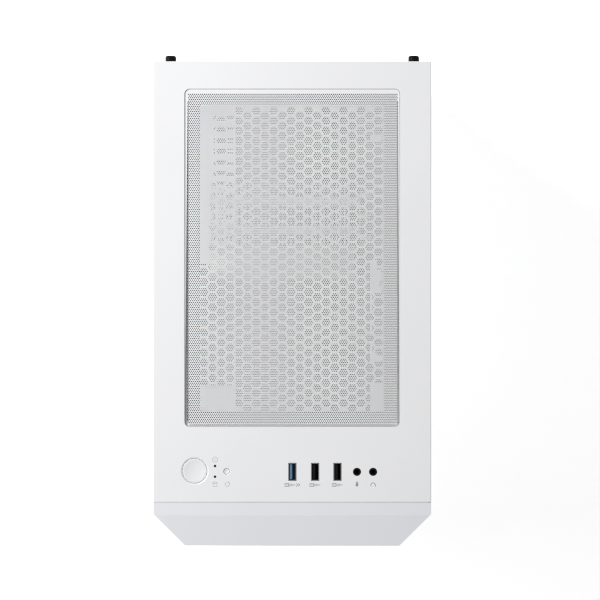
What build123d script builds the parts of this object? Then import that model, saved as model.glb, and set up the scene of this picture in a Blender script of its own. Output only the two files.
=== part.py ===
from build123d import *
import math
import os

os.makedirs("parts", exist_ok=True)

# ---------------------------------------------------------------------------
# Driving dimensions, in millimetres. The origin is on the floor, under the
# middle of the tower's plan. The front faces -Y and the glass side faces -X.
# ---------------------------------------------------------------------------
WIDTH = 210.0
DEPTH = 366.0
HEIGHT = 480.0
SHEET = 1.0  # chassis and cover steel
AIR = 0.25  # gap between a cover that comes off and what it lies on
FOOT = 15.0  # floor to the underside of the base pan

HEAD_LENGTH = 5.5  # thumbscrew heads stand out behind the rear face by this much
HALF = WIDTH / 2
FRONT = -(DEPTH + HEAD_LENGTH) / 2  # foremost face of the bezel
REAR = FRONT + DEPTH  # rear face of the side panels' folds

BEZEL_DEPTH = 32.7
BEZEL_WALL = 3.0
CHEEK = 24.0  # each 45 degree cheek, along X and along Y
SEAM = 0.5  # joint between the bezel and the top panel
BODY_FRONT = FRONT + BEZEL_DEPTH + SEAM
BEZEL_BACK = BODY_FRONT - SEAM

FLANGE = 14.0  # side flanges of the top panel and of the base pan
EDGE_RADIUS = 0.6  # outside corner of a folded edge
PANEL_LOW = FOOT + FLANGE + 0.3
PANEL_HIGH = HEIGHT - FLANGE - 0.3
TONGUE = 8.0  # panel edges reach this far behind the flanges
CHASSIS_HALF = 99.0  # half width of the rear panel and of the bulkhead
REAR_SKIN = REAR - SHEET - AIR  # outer face of the rear panel
REAR_INSIDE = REAR_SKIN - SHEET
FLOOR = FOOT + SHEET  # upper face of the base pan
CEILING = HEIGHT - SHEET  # underside of the top panel's outer sheet

# Top filter: recess, magnetic strip and perforated sheet.
RECESS_WIDTH = 162.8
RECESS_LENGTH = 255.4
RECESS_Y = 31.85
RECESS_DEPTH = 2.4
RECESS_CORNER = 4.0
FILTER_GAP = 0.3
FILTER_SHEET = 0.5
MAGNET_SHEET = 1.0
MAGNET_WIDTH = 9.6
MAGNET_MARGIN = 2.1

# Honeycomb vent in the recess floor: hexagons with their flats facing front and rear.
VENT_PITCH = 7.62
VENT_HOLE = 6.0  # across flats
VENT_WIDTH = 138.0
VENT_LENGTH = 229.0
VENT_MIDDLE = (-0.85, 28.78)  # centre of the middle hexagon
VENT_FRONT = -112.0  # no hexagon further to the front than this, from the middle one

# Controls and sockets on the top panel's front strip.
PORT_Y = -129.8
POWER_AT = (-73.6, -129.1)
POWER_RADIUS = 9.3
POWER_TRAVEL = 1.5
RESET_AT = (-49.4, -129.5)
RESET_RADIUS = 2.1
RESET_TRAVEL = 1.0
LED_AT = [(-58.3, -125.4), (-58.3, -133.5)]
LED_RADIUS = 0.95
USB3_X = 0.15
USB2_X = [17.3, 34.2]
USB_SHELL = (5.7, 13.1)  # a standard type A socket, stood on end
USB_WALL = 0.35
JACK_X = [48.95, 61.1]
JACK_RADIUS = 3.0
BOARD_TOP = 465.0  # upper face of the control board
BOARD_SHEET = 1.6

# Rear thumbscrews (6-32 thread).
SCREW_X = 92.4
SCREW_Z = [43.0, 452.0]
SCREW_HEAD_RADIUS = 4.1
SCREW_SHANK_RADIUS = 1.75

# Fans.
FAN = 120.0
FAN_THICK = 25.0
FAN_HOLES = 105.0  # mounting hole spacing
FRONT_FAN_Z = [172.0, 293.0, 414.0]
REAR_FAN_AT = (-30.0, 395.0)

# Motherboard tray and ATX board.
TRAY_X = 80.0
BOARD_X = 74.0  # back of the motherboard, on 6 mm standoffs
MAIN_BOARD_FRONT = -67.0
MAIN_BOARD_REAR = 177.0
MAIN_BOARD_LOW = 157.0
MAIN_BOARD_HIGH = 462.0
BOARD_FACE = BOARD_X - BOARD_SHEET
IO_APERTURE = ((29.0, 296.0), (73.5, 454.8))
SLOT_PITCH = 20.32
SLOT_TOP_Z = 280.0
SLOT_COUNT = 7
CARD_SLOTS = 2  # slots taken by the graphics card

# Power supply, ATX format, and the shroud over it.
SHROUD_TOP = 114.0
PSU_HALF_WIDTH = 75.0
PSU_LENGTH = 150.0
PSU_HEIGHT = 86.0
PSU_LOW = FLOOR + 1.0
PSU_REAR = REAR_INSIDE - 0.5
PSU_FRONT = PSU_REAR - PSU_LENGTH
PSU_SHEET = 1.2

pieces = {}


def block(low, high, mode=Mode.ADD):
    """Box between two opposite corners, in the part being built."""
    centre = [(a + b) / 2 for a, b in zip(low, high)]
    with Locations(tuple(centre)):
        Box(*[b - a for a, b in zip(low, high)], mode=mode)


def honeycomb(width, length, pitch, keep=None):
    """Centres of a staggered lattice inside a rectangle, its columns along the second axis."""
    step = pitch * math.sqrt(3) / 2
    columns = int(width / 2 / step)
    centres = []
    for i in range(-columns, columns + 1):
        shift = pitch / 2 if i % 2 else 0.0
        rows = int(length / 2 / pitch) + 1
        for j in range(-rows, rows + 1):
            u, v = i * step, j * pitch + shift
            if abs(v) <= length / 2 and (keep is None or keep(u, v)):
                centres.append((u, v))
    return centres


def hexagon(flats):
    """Outline of a hexagon whose flats face along the second axis."""
    corner = flats / 2 / math.cos(math.pi / 6)
    turns = [k * math.pi / 3 for k in range(6)]
    return Wire.make_polygon([(corner * math.cos(t), corner * math.sin(t)) for t in turns])


def perforated(plane, width, length, hole, centres):
    """Rectangular face on a plane, with the hole's outline cut out at each centre."""
    holes = [hole.moved(Location((u, v, 0))) for u, v in centres]
    return Face(Wire.make_rect(width, length), holes).moved(plane.location)


# ---------------------------------------------------------------------------
# Top panel: folded steel sheet with a pressed recess, a honeycomb vent in its
# floor and the holes for the controls and sockets.
# ---------------------------------------------------------------------------
RECESS_FLOOR = HEIGHT - RECESS_DEPTH
vent_holes = [
    (u + VENT_MIDDLE[0], v + VENT_MIDDLE[1] - RECESS_Y)
    for u, v in honeycomb(VENT_WIDTH, VENT_LENGTH, VENT_PITCH, lambda u, v: v > VENT_FRONT)
]
vent_floor = perforated(
    Plane((0, RECESS_Y, RECESS_FLOOR - SHEET)),
    RECESS_WIDTH - 2 * RECESS_CORNER,
    RECESS_LENGTH - 2 * RECESS_CORNER,
    hexagon(VENT_HOLE),
    vent_holes,
)

with BuildPart() as top_panel:
    with BuildSketch(Plane.XZ.offset(-REAR)) as profile:
        with Locations((0, HEIGHT - FLANGE / 2)):
            Rectangle(WIDTH, FLANGE)
        fillet(profile.vertices().group_by(Axis.Y)[-1], radius=EDGE_RADIUS)
        with Locations((0, HEIGHT - SHEET - FLANGE / 2)):
            Rectangle(WIDTH - 2 * SHEET, FLANGE, mode=Mode.SUBTRACT)
    extrude(amount=REAR - BODY_FRONT)
    with BuildSketch(Plane.XY.offset(RECESS_FLOOR - SHEET)) as tub:
        with Locations((0, RECESS_Y)):
            RectangleRounded(
                RECESS_WIDTH + 2 * SHEET, RECESS_LENGTH + 2 * SHEET, RECESS_CORNER + SHEET
            )
    extrude(amount=RECESS_DEPTH)
    with BuildSketch(Plane.XY.offset(RECESS_FLOOR)) as recess:
        with Locations((0, RECESS_Y)):
            RectangleRounded(RECESS_WIDTH, RECESS_LENGTH, RECESS_CORNER)
    extrude(amount=RECESS_DEPTH, mode=Mode.SUBTRACT)
    with BuildSketch(Plane.XY.offset(RECESS_FLOOR - SHEET)) as opening:
        with Locations((0, RECESS_Y)):
            Rectangle(RECESS_WIDTH - 2 * RECESS_CORNER, RECESS_LENGTH - 2 * RECESS_CORNER)
    extrude(amount=SHEET, mode=Mode.SUBTRACT)
    with BuildSketch(Plane.XY.offset(CEILING)) as ports:
        with Locations(POWER_AT):
            Circle(POWER_RADIUS + 0.2)
        with Locations(RESET_AT):
            Circle(RESET_RADIUS + 0.2)
        with Locations(*LED_AT):
            Circle(LED_RADIUS + 0.05)
        with Locations(*[(x, PORT_Y) for x in [USB3_X] + USB2_X]):
            Rectangle(USB_SHELL[0] + 0.5, USB_SHELL[1] + 0.5)
        with Locations(*[(x, PORT_Y) for x in JACK_X]):
            Circle(JACK_RADIUS + 0.1)
    extrude(amount=SHEET, mode=Mode.SUBTRACT)
    with Locations((*POWER_AT, HEIGHT - 0.2)):
        Cone(POWER_RADIUS + 0.2, POWER_RADIUS + 1.2, 0.4, mode=Mode.SUBTRACT)
    with Locations((*RESET_AT, HEIGHT - 0.15)):
        Cone(RESET_RADIUS + 0.2, RESET_RADIUS + 0.6, 0.3, mode=Mode.SUBTRACT)
    extrude(vent_floor, amount=SHEET, dir=(0, 0, 1), clean=False)
pieces["top_panel"] = top_panel

# ---------------------------------------------------------------------------
# Top dust filter: a thin sheet on a flexible magnetic strip. It drops into the
# recess and lifts straight off.
# ---------------------------------------------------------------------------
MAGNET_LOW = RECESS_FLOOR + 0.1
FILTER_LOW = MAGNET_LOW + MAGNET_SHEET

with BuildPart() as top_filter:
    with BuildSketch(Plane.XY.offset(FILTER_LOW)):
        with Locations((0, RECESS_Y)):
            RectangleRounded(
                RECESS_WIDTH - 2 * FILTER_GAP,
                RECESS_LENGTH - 2 * FILTER_GAP,
                RECESS_CORNER - FILTER_GAP,
            )
    extrude(amount=FILTER_SHEET)
pieces["top_filter"] = top_filter

with BuildPart() as top_filter_magnet:
    magnet_width = RECESS_WIDTH - 2 * MAGNET_MARGIN
    magnet_length = RECESS_LENGTH - 2 * MAGNET_MARGIN
    with BuildSketch(Plane.XY.offset(MAGNET_LOW)):
        with Locations((0, RECESS_Y)):
            RectangleRounded(magnet_width, magnet_length, 3.0)
            RectangleRounded(
                magnet_width - 2 * MAGNET_WIDTH,
                magnet_length - 2 * MAGNET_WIDTH,
                1.5,
                mode=Mode.SUBTRACT,
            )
    extrude(amount=MAGNET_SHEET)
pieces["top_filter_magnet"] = top_filter_magnet

# ---------------------------------------------------------------------------
# Buttons: dished caps with a retaining collar under the panel and a stem over
# the tact switch on the control board.
# ---------------------------------------------------------------------------
SWITCH_TOP = BOARD_TOP + 4.0
STEM_CLEAR = 0.1


def button(at, radius, collar, travel, dish_radius):
    """Dished push button; its stem ends just above the switch when fully pressed."""
    with BuildPart() as cap:
        with Locations((*at, 476.0)):
            Cylinder(radius, 3.6, align=(Align.CENTER, Align.CENTER, Align.MIN))
        fillet(cap.edges().group_by(Axis.Z)[-1], radius=0.4)
        with Locations((*at, 475.2)):
            Cylinder(collar, 1.6, align=(Align.CENTER, Align.CENTER, Align.MIN))
        stem_low = SWITCH_TOP + travel + STEM_CLEAR
        with Locations((*at, stem_low)):
            Cylinder(
                min(2.5, radius * 0.7),
                476.0 - stem_low,
                align=(Align.CENTER, Align.CENTER, Align.MIN),
            )
        depth = dish_radius - math.sqrt(dish_radius**2 - (0.86 * radius) ** 2)
        with Locations((*at, 479.6 - depth + dish_radius)):
            Sphere(dish_radius, mode=Mode.SUBTRACT)
    return cap


power_button = button(POWER_AT, POWER_RADIUS, POWER_RADIUS + 1.5, POWER_TRAVEL, 55.0)
pieces["power_button"] = power_button
reset_button = button(RESET_AT, RESET_RADIUS, RESET_RADIUS + 1.0, RESET_TRAVEL, 5.0)
pieces["reset_button"] = reset_button

# ---------------------------------------------------------------------------
# Indicator light pipes, control board, tact switches.
# ---------------------------------------------------------------------------
with BuildPart() as led_lenses:
    with Locations(*[(*at, BOARD_TOP) for at in LED_AT]):
        Cylinder(LED_RADIUS + 0.5, 8.0, align=(Align.CENTER, Align.CENTER, Align.MIN))
        Cylinder(LED_RADIUS, 14.6, align=(Align.CENTER, Align.CENTER, Align.MIN))
pieces["led_lenses"] = led_lenses

CONTROL_BOARD = ((-91.0, -143.0), (73.0, -117.0))
with BuildPart() as control_board:
    block(
        (*CONTROL_BOARD[0], BOARD_TOP - BOARD_SHEET),
        (*CONTROL_BOARD[1], BOARD_TOP),
    )
    post_xy = [(x, y) for x in (-87.0, 69.0) for y in (-139.5, -120.5)]
    with Locations(*[(x, y, BOARD_TOP) for x, y in post_xy]):
        Cylinder(2.5, CEILING - BOARD_TOP, align=(Align.CENTER, Align.CENTER, Align.MIN))
pieces["control_board"] = control_board

with BuildPart() as tact_switches:
    for x, y in (POWER_AT, RESET_AT):
        block((x - 3.0, y - 3.0, BOARD_TOP), (x + 3.0, y + 3.0, BOARD_TOP + 3.4))
        with Locations((x, y, BOARD_TOP + 3.4)):
            Cylinder(1.7, 0.6, align=(Align.CENTER, Align.CENTER, Align.MIN))
pieces["tact_switches"] = tact_switches

# ---------------------------------------------------------------------------
# USB sockets: a folded metal shell round a moulded insulator with its tongue.
# ---------------------------------------------------------------------------
SHELL_HIGH = HEIGHT - 0.1
TONGUE_X = (-1.75, 0.1)


def usb_shell(xs):
    """Rectangular metal tubes, open at the top."""
    with BuildPart() as shell:
        with BuildSketch(Plane.XY.offset(BOARD_TOP)):
            with Locations(*[(x, PORT_Y) for x in xs]):
                RectangleRounded(*USB_SHELL, 0.5)
                Rectangle(
                    USB_SHELL[0] - 2 * USB_WALL, USB_SHELL[1] - 2 * USB_WALL, mode=Mode.SUBTRACT
                )
        extrude(amount=SHELL_HIGH - BOARD_TOP)
    return shell


def usb_insulator(xs):
    """Base block at the bottom of the shell, with the tongue that carries the contacts."""
    with BuildPart() as insulator:
        for x in xs:
            inside_x = USB_SHELL[0] / 2 - USB_WALL
            inside_y = USB_SHELL[1] / 2 - USB_WALL
            block(
                (x - inside_x, PORT_Y - inside_y, BOARD_TOP),
                (x + inside_x, PORT_Y + inside_y, BOARD_TOP + 4.0),
            )
            block(
                (x + TONGUE_X[0], PORT_Y - inside_y + 0.6, BOARD_TOP + 4.0),
                (x + TONGUE_X[1], PORT_Y + inside_y - 0.6, SHELL_HIGH - 0.7),
            )
    return insulator


usb3_shell = usb_shell([USB3_X])
pieces["usb3_shell"] = usb3_shell
usb3_insulator = usb_insulator([USB3_X])
pieces["usb3_insulator"] = usb3_insulator
usb2_shells = usb_shell(USB2_X)
pieces["usb2_shells"] = usb2_shells
usb2_insulators = usb_insulator(USB2_X)
pieces["usb2_insulators"] = usb2_insulators

with BuildPart() as audio_jacks:
    for x in JACK_X:
        block((x - 4.0, PORT_Y - 5.5, BOARD_TOP), (x + 4.0, PORT_Y + 5.5, BOARD_TOP + 11.0))
        with Locations((x, PORT_Y, BOARD_TOP)):
            Cylinder(JACK_RADIUS, 14.7, align=(Align.CENTER, Align.CENTER, Align.MIN))
        with Locations((x, PORT_Y, BOARD_TOP + 2.0)):
            Cylinder(
                1.8, 14.0, align=(Align.CENTER, Align.CENTER, Align.MIN), mode=Mode.SUBTRACT
            )
pieces["audio_jacks"] = audio_jacks

# ---------------------------------------------------------------------------
# Front bezel: a moulded shell with 45 degree cheeks, a sloped cap, a window
# for the mesh, vent slots in the cheeks and four clips into the bulkhead.
# ---------------------------------------------------------------------------
CAP_DROP = 2.5
WINDOW_HALF = 70.0
WINDOW_LOW = 32.0
WINDOW_HIGH = 458.0
REBATE = 3.0
CLIP_AT = [(x, z) for x in (-86.0, 86.0) for z in (70.0, 425.0)]
CLIP_RADIUS = 3.0
LIP = 0.3  # narrow lip that closes most of the seam below the lid


def bezel_outline(inset):
    """Plan of the bezel, moved in by the wall's thickness, with its back left open."""
    side = HALF - inset
    turn = inset * (math.sqrt(2) - 1)
    back = BEZEL_BACK + (1.0 if inset else 0.0)
    with BuildSketch(Plane.XY.offset(FOOT)) as plan:
        with BuildLine():
            Polyline(
                (-side, back),
                (-side, FRONT + CHEEK + turn),
                (-HALF + CHEEK + turn, FRONT + inset),
                (HALF - CHEEK - turn, FRONT + inset),
                (side, FRONT + CHEEK + turn),
                (side, back),
                close=True,
            )
        make_face()
    return plan.sketch


with BuildPart() as front_bezel:
    extrude(bezel_outline(0.0), amount=HEIGHT - FOOT)
    extrude(
        bezel_outline(BEZEL_WALL).moved(Location((0, 0, BEZEL_WALL))),
        amount=HEIGHT - FOOT - 3 * BEZEL_WALL,
        mode=Mode.SUBTRACT,
    )
    with BuildSketch(Plane.YZ.offset(-HALF)) as cap_slope:
        with BuildLine():
            Polyline(
                (FRONT + CHEEK - 1.0, HEIGHT),
                (FRONT - 1.0, HEIGHT - CAP_DROP),
                (FRONT - 1.0, HEIGHT + 1.0),
                (FRONT + CHEEK - 1.0, HEIGHT + 1.0),
                close=True,
            )
        make_face()
    extrude(amount=WIDTH, mode=Mode.SUBTRACT)
    block(
        (-WINDOW_HALF, FRONT - 1.0, WINDOW_LOW),
        (WINDOW_HALF, FRONT + BEZEL_WALL + 1.0, WINDOW_HIGH),
        mode=Mode.SUBTRACT,
    )
    block(
        (-WINDOW_HALF - REBATE, FRONT - 1.0, WINDOW_LOW - REBATE),
        (WINDOW_HALF + REBATE, FRONT + 2.0, WINDOW_HIGH + REBATE),
        mode=Mode.SUBTRACT,
    )
    for side in (-1, 1):
        cheek = Plane(
            origin=(side * (HALF - CHEEK / 2), FRONT + CHEEK / 2, 0),
            x_dir=(0, 0, 1),
            z_dir=(side, -1, 0),
        )
        with BuildSketch(cheek):
            with Locations((245.0, 0)):
                with GridLocations(12.0, 1.0, 33, 1):
                    SlotOverall(16.0, 4.0, rotation=90)
        extrude(amount=-1.8 * BEZEL_WALL, mode=Mode.SUBTRACT)
    for x, z in CLIP_AT:
        outward = math.copysign(1.0, x)
        wall_side = sorted((x - outward * 6.0, outward * (HALF - 1.0)))
        block((wall_side[0], BEZEL_BACK - 8.0, z - 6.0), (wall_side[1], BEZEL_BACK, z + 6.0))
    block(
        (-HALF + 2.0, BEZEL_BACK, HEIGHT - BEZEL_WALL),
        (HALF - 2.0, BEZEL_BACK + LIP, HEIGHT - 0.5),
    )
    with BuildSketch(Plane.XZ.offset(-BEZEL_BACK)) as clips:
        with Locations(*CLIP_AT):
            Circle(CLIP_RADIUS)
    extrude(amount=-(SEAM + SHEET + 4.0))
pieces["front_bezel"] = front_bezel

with BuildPart() as front_mesh:
    block(
        (-WINDOW_HALF - REBATE + 0.3, FRONT + 0.8, WINDOW_LOW - REBATE + 0.3),
        (WINDOW_HALF + REBATE - 0.3, FRONT + 2.0, WINDOW_HIGH + REBATE - 0.3),
    )
pieces["front_mesh"] = front_mesh

with BuildPart() as front_filter:
    block((-76.0, FRONT + BEZEL_WALL, 26.0), (76.0, FRONT + BEZEL_WALL + 1.8, 464.0))
    block(
        (-70.0, FRONT + BEZEL_WALL - 1.0, 32.0),
        (70.0, FRONT + BEZEL_WALL + 0.8, 458.0),
        mode=Mode.SUBTRACT,
    )
pieces["front_filter"] = front_filter

# ---------------------------------------------------------------------------
# Chassis: front bulkhead, rear panel, base pan, motherboard tray.
# ---------------------------------------------------------------------------
with BuildPart() as front_bulkhead:
    with BuildSketch(Plane.XZ.offset(-BODY_FRONT - SHEET)) as plate:
        with Locations((0, (FLOOR + CEILING) / 2)):
            Rectangle(2 * CHASSIS_HALF, CEILING - FLOOR)
        with Locations(*[(0, z) for z in FRONT_FAN_Z]):
            Circle(FAN / 2 - 3.0, mode=Mode.SUBTRACT)
            with GridLocations(FAN_HOLES, FAN_HOLES, 2, 2):
                Circle(2.2, mode=Mode.SUBTRACT)
        with Locations(*CLIP_AT):
            Circle(CLIP_RADIUS + 0.3, mode=Mode.SUBTRACT)
        with Locations((0, 63.0)):
            with GridLocations(20.0, 1.0, 7, 1):
                SlotOverall(60.0, 8.0, rotation=90, mode=Mode.SUBTRACT)
    extrude(amount=SHEET)
    for side in (-1, 1):
        edge = sorted((side * CHASSIS_HALF, side * (CHASSIS_HALF - SHEET)))
        block((edge[0], BODY_FRONT, FLOOR), (edge[1], BODY_FRONT + 16.0, CEILING))
pieces["front_bulkhead"] = front_bulkhead

GRILLE = 118.0
fan_grille = perforated(
    Plane((REAR_FAN_AT[0], REAR_SKIN, REAR_FAN_AT[1]), x_dir=(1, 0, 0), z_dir=(0, -1, 0)),
    GRILLE,
    GRILLE,
    hexagon(7.5),
    honeycomb(GRILLE, GRILLE, 9.0, lambda u, v: math.hypot(u, v) < 54.0),
)

with BuildPart() as rear_panel:
    with BuildSketch(Plane.XZ.offset(-REAR_SKIN)) as plate:
        with Locations((0, (FLOOR + CEILING) / 2)):
            Rectangle(2 * CHASSIS_HALF, CEILING - FLOOR)
        with Locations(REAR_FAN_AT):
            Rectangle(GRILLE, GRILLE, mode=Mode.SUBTRACT)
        low, high = IO_APERTURE
        with Locations(((low[0] + high[0]) / 2, (low[1] + high[1]) / 2)):
            Rectangle(high[0] - low[0], high[1] - low[1], mode=Mode.SUBTRACT)
        with Locations((14.0, SLOT_TOP_Z - SLOT_PITCH * (SLOT_COUNT - 1) / 2)):
            with GridLocations(1.0, SLOT_PITCH, 1, SLOT_COUNT):
                Rectangle(104.0, 13.5, mode=Mode.SUBTRACT)
        with Locations((0, PSU_LOW + PSU_HEIGHT / 2)):
            Rectangle(2 * PSU_HALF_WIDTH - 6.0, PSU_HEIGHT - 6.0, mode=Mode.SUBTRACT)
        with Locations(*[(x, z) for x in (-SCREW_X, SCREW_X) for z in SCREW_Z]):
            Circle(SCREW_SHANK_RADIUS + 0.05, mode=Mode.SUBTRACT)
    extrude(amount=SHEET)
    extrude(fan_grille, amount=SHEET, dir=(0, -1, 0), clean=False)
    with BuildSketch(Plane.XZ.offset(-REAR_SKIN)) as fan_screw_holes:
        with Locations(REAR_FAN_AT):
            with GridLocations(FAN_HOLES, FAN_HOLES, 2, 2):
                Circle(2.2)
    extrude(amount=SHEET, mode=Mode.SUBTRACT)
pieces["rear_panel"] = rear_panel

RAIL_X = 77.0
FILTER_TRAY_HIGH = FOOT - 0.3
FILTER_TRAY_LOW = FILTER_TRAY_HIGH - 2.0
FILTER_TRAY_FRONT = 20.0
PSU_VENT_Y = (PSU_FRONT + PSU_REAR) / 2

BASE_VENT = 136.0
base_vent = perforated(
    Plane((0, PSU_VENT_Y, FOOT)),
    BASE_VENT,
    BASE_VENT,
    Wire.make_circle(3.9),
    honeycomb(BASE_VENT - 12.0, BASE_VENT - 10.0, 10.0),
)

with BuildPart() as base_pan:
    block((-HALF, BODY_FRONT, FOOT), (HALF, REAR, FLOOR))
    with Locations((0, PSU_VENT_Y, FOOT + SHEET / 2)):
        Box(BASE_VENT, BASE_VENT, SHEET, mode=Mode.SUBTRACT)
    for side in (-1, 1):
        edge = sorted((side * HALF, side * (HALF - SHEET)))
        block((edge[0], BODY_FRONT, FOOT), (edge[1], REAR, FOOT + FLANGE))
        rail = sorted((side * RAIL_X, side * (RAIL_X - SHEET)))
        lip = sorted((side * RAIL_X, side * (RAIL_X - 4.0)))
        lip_high = FILTER_TRAY_LOW - 0.3
        block((rail[0], FILTER_TRAY_FRONT, lip_high - SHEET), (rail[1], REAR - 8.0, FOOT))
        block((lip[0], FILTER_TRAY_FRONT, lip_high - SHEET), (lip[1], REAR - 8.0, lip_high))
    extrude(base_vent, amount=SHEET, dir=(0, 0, 1), clean=False)
pieces["base_pan"] = base_pan

CPU_AT = (65.0, 384.0)
with BuildPart() as motherboard_tray:
    with BuildSketch(Plane.YZ.offset(TRAY_X)) as plate:
        tray_low = SHROUD_TOP + 0.2
        tray_high = 474.0
        with Locations(((BODY_FRONT + 17.0 + REAR_INSIDE) / 2, (tray_low + tray_high) / 2)):
            Rectangle(REAR_INSIDE - BODY_FRONT - 17.0, tray_high - tray_low)
        with Locations(CPU_AT):
            RectangleRounded(110.0, 90.0, 6.0, mode=Mode.SUBTRACT)
        with Locations((-90.0, 190.0), (-90.0, 290.0), (-90.0, 390.0)):
            SlotOverall(80.0, 22.0, rotation=90, mode=Mode.SUBTRACT)
        with Locations((-20.0, 466.0), (110.0, 466.0)):
            SlotOverall(50.0, 8.0, mode=Mode.SUBTRACT)
    extrude(amount=SHEET)
pieces["motherboard_tray"] = motherboard_tray

# Rubber grommets that line the three cable slots of the tray.
with BuildPart() as cable_grommets:
    for z in (190.0, 290.0, 390.0):
        with BuildSketch(Plane.YZ.offset(TRAY_X - 1.5)) as flange:
            with Locations((-90.0, z)):
                SlotOverall(86.0, 28.0, rotation=90)
                SlotOverall(76.0, 18.0, rotation=90, mode=Mode.SUBTRACT)
        extrude(amount=1.5)
        with BuildSketch(Plane.YZ.offset(TRAY_X)) as web:
            with Locations((-90.0, z)):
                SlotOverall(80.0, 22.0, rotation=90)
                SlotOverall(76.0, 18.0, rotation=90, mode=Mode.SUBTRACT)
        extrude(amount=SHEET)
pieces["cable_grommets"] = cable_grommets

# ---------------------------------------------------------------------------
# Power supply shroud, drive cage and drives.
# ---------------------------------------------------------------------------
SHROUD_SIDE = -98.5
with BuildPart() as psu_shroud:
    shroud_front = BODY_FRONT + 17.0
    block(
        (SHROUD_SIDE, shroud_front, SHROUD_TOP - SHEET),
        (TRAY_X + SHEET, REAR_INSIDE, SHROUD_TOP),
    )
    block((SHROUD_SIDE, shroud_front, FLOOR), (SHROUD_SIDE + SHEET, REAR_INSIDE, SHROUD_TOP))
    with BuildSketch(Plane.XY.offset(SHROUD_TOP - SHEET)) as vents:
        with Locations((-10.0, 100.0)):
            with GridLocations(40.0, 9.0, 3, 12):
                SlotOverall(32.0, 4.0)
        with Locations((50.0, -105.0)):
            SlotOverall(40.0, 18.0)
    extrude(amount=SHEET, mode=Mode.SUBTRACT)
    with BuildSketch(Plane.YZ.offset(SHROUD_SIDE)) as side_vents:
        with Locations((-75.0, 65.0)):
            with GridLocations(14.0, 1.0, 8, 1):
                SlotOverall(64.0, 6.0, rotation=60)
    extrude(amount=SHEET, mode=Mode.SUBTRACT)
pieces["psu_shroud"] = psu_shroud

CAGE_FRONT = -130.0
CAGE_REAR = CAGE_FRONT + 104.0
CAGE_HALF = 74.5
with BuildPart() as drive_cage:
    block((-CAGE_HALF, CAGE_FRONT, FLOOR), (CAGE_HALF, CAGE_REAR, 104.0))
    block(
        (-CAGE_HALF - 1, CAGE_FRONT + SHEET, FLOOR + SHEET),
        (CAGE_HALF + 1, CAGE_REAR - SHEET, 104.0 - SHEET),
        mode=Mode.SUBTRACT,
    )
    for z in (30.0, 68.0):
        for y in (CAGE_FRONT + SHEET, CAGE_REAR - SHEET - 3.0):
            block((-CAGE_HALF, y, z), (CAGE_HALF, y + 3.0, z + SHEET))
    with BuildSketch(Plane.XZ.offset(-CAGE_REAR)) as windows:
        with Locations((0, 62.0)):
            with GridLocations(46.0, 36.0, 3, 2):
                SlotOverall(36.0, 12.0)
    extrude(amount=CAGE_REAR - CAGE_FRONT, mode=Mode.SUBTRACT)
pieces["drive_cage"] = drive_cage

with BuildPart() as hard_drive:
    drive_low = 31.0
    drive_y = (CAGE_FRONT + CAGE_REAR) / 2
    block((-73.5, drive_y - 50.8, drive_low), (73.5, drive_y + 50.8, drive_low + 24.0))
    chamfer(hard_drive.edges().filter_by(Axis.Z), length=2.0)
    with BuildSketch(Plane.XY.offset(drive_low + 24.0)) as lid:
        with Locations((0, drive_y)):
            RectangleRounded(138.0, 94.0, 8.0)
    extrude(amount=1.5)
pieces["hard_drive"] = hard_drive

with BuildPart() as solid_state_drive:
    with BuildSketch(Plane.XY.offset(SHROUD_TOP)) as outline:
        with Locations((-45.0, -20.0)):
            RectangleRounded(69.8, 100.2, 3.0)
    extrude(amount=7.0)
    fillet(solid_state_drive.edges().group_by(Axis.Z)[-1], radius=0.8)
pieces["solid_state_drive"] = solid_state_drive

# ---------------------------------------------------------------------------
# Side panels. Their top and bottom edges run in the channels behind the
# flanges, and their rear folds are held by captive thumbscrews.
# ---------------------------------------------------------------------------
EAR_IN = 21.0
EAR_HALF = 11.0
FOLD_WIDTH = 9.0


def rear_fold(side):
    """Rear fold of a side panel with its two screw ears, in the part being built."""
    edge = sorted((side * HALF, side * (HALF - FOLD_WIDTH)))
    block((edge[0], REAR - SHEET, PANEL_LOW), (edge[1], REAR, PANEL_HIGH))
    for z in SCREW_Z:
        ear = sorted((side * HALF, side * (HALF - EAR_IN)))
        block((ear[0], REAR - SHEET, z - EAR_HALF), (ear[1], REAR, z + EAR_HALF))
        with Locations((side * SCREW_X, REAR - SHEET / 2, z)):
            Cylinder(
                SCREW_SHANK_RADIUS + 0.05, 2 * SHEET, rotation=(90, 0, 0), mode=Mode.SUBTRACT
            )


with BuildPart() as right_side_panel:
    block((HALF - SHEET, BODY_FRONT, PANEL_LOW), (HALF, REAR, PANEL_HIGH))
    tongue_out = HALF - 1.6
    for low, high, inner_low, inner_high in (
        (PANEL_HIGH - 10.0, PANEL_HIGH, PANEL_HIGH - 10.0, PANEL_HIGH + TONGUE),
        (PANEL_LOW, PANEL_LOW + 10.0, PANEL_LOW - TONGUE, PANEL_LOW + 10.0),
    ):
        block((tongue_out, BODY_FRONT + 2.0, low), (HALF - SHEET, REAR - SHEET, high))
        block(
            (tongue_out - SHEET, BODY_FRONT + 2.0, inner_low),
            (tongue_out, REAR - SHEET, inner_high),
        )
    rear_fold(1)
pieces["right_side_panel"] = right_side_panel

GLASS = 4.0
with BuildPart() as glass_side_panel:
    block(
        (-HALF, BODY_FRONT, PANEL_LOW),
        (-HALF + GLASS, REAR - SHEET - AIR, PANEL_HIGH),
    )
    chamfer(glass_side_panel.faces().sort_by(Axis.X)[0].edges(), length=0.6)
pieces["glass_side_panel"] = glass_side_panel

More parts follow.
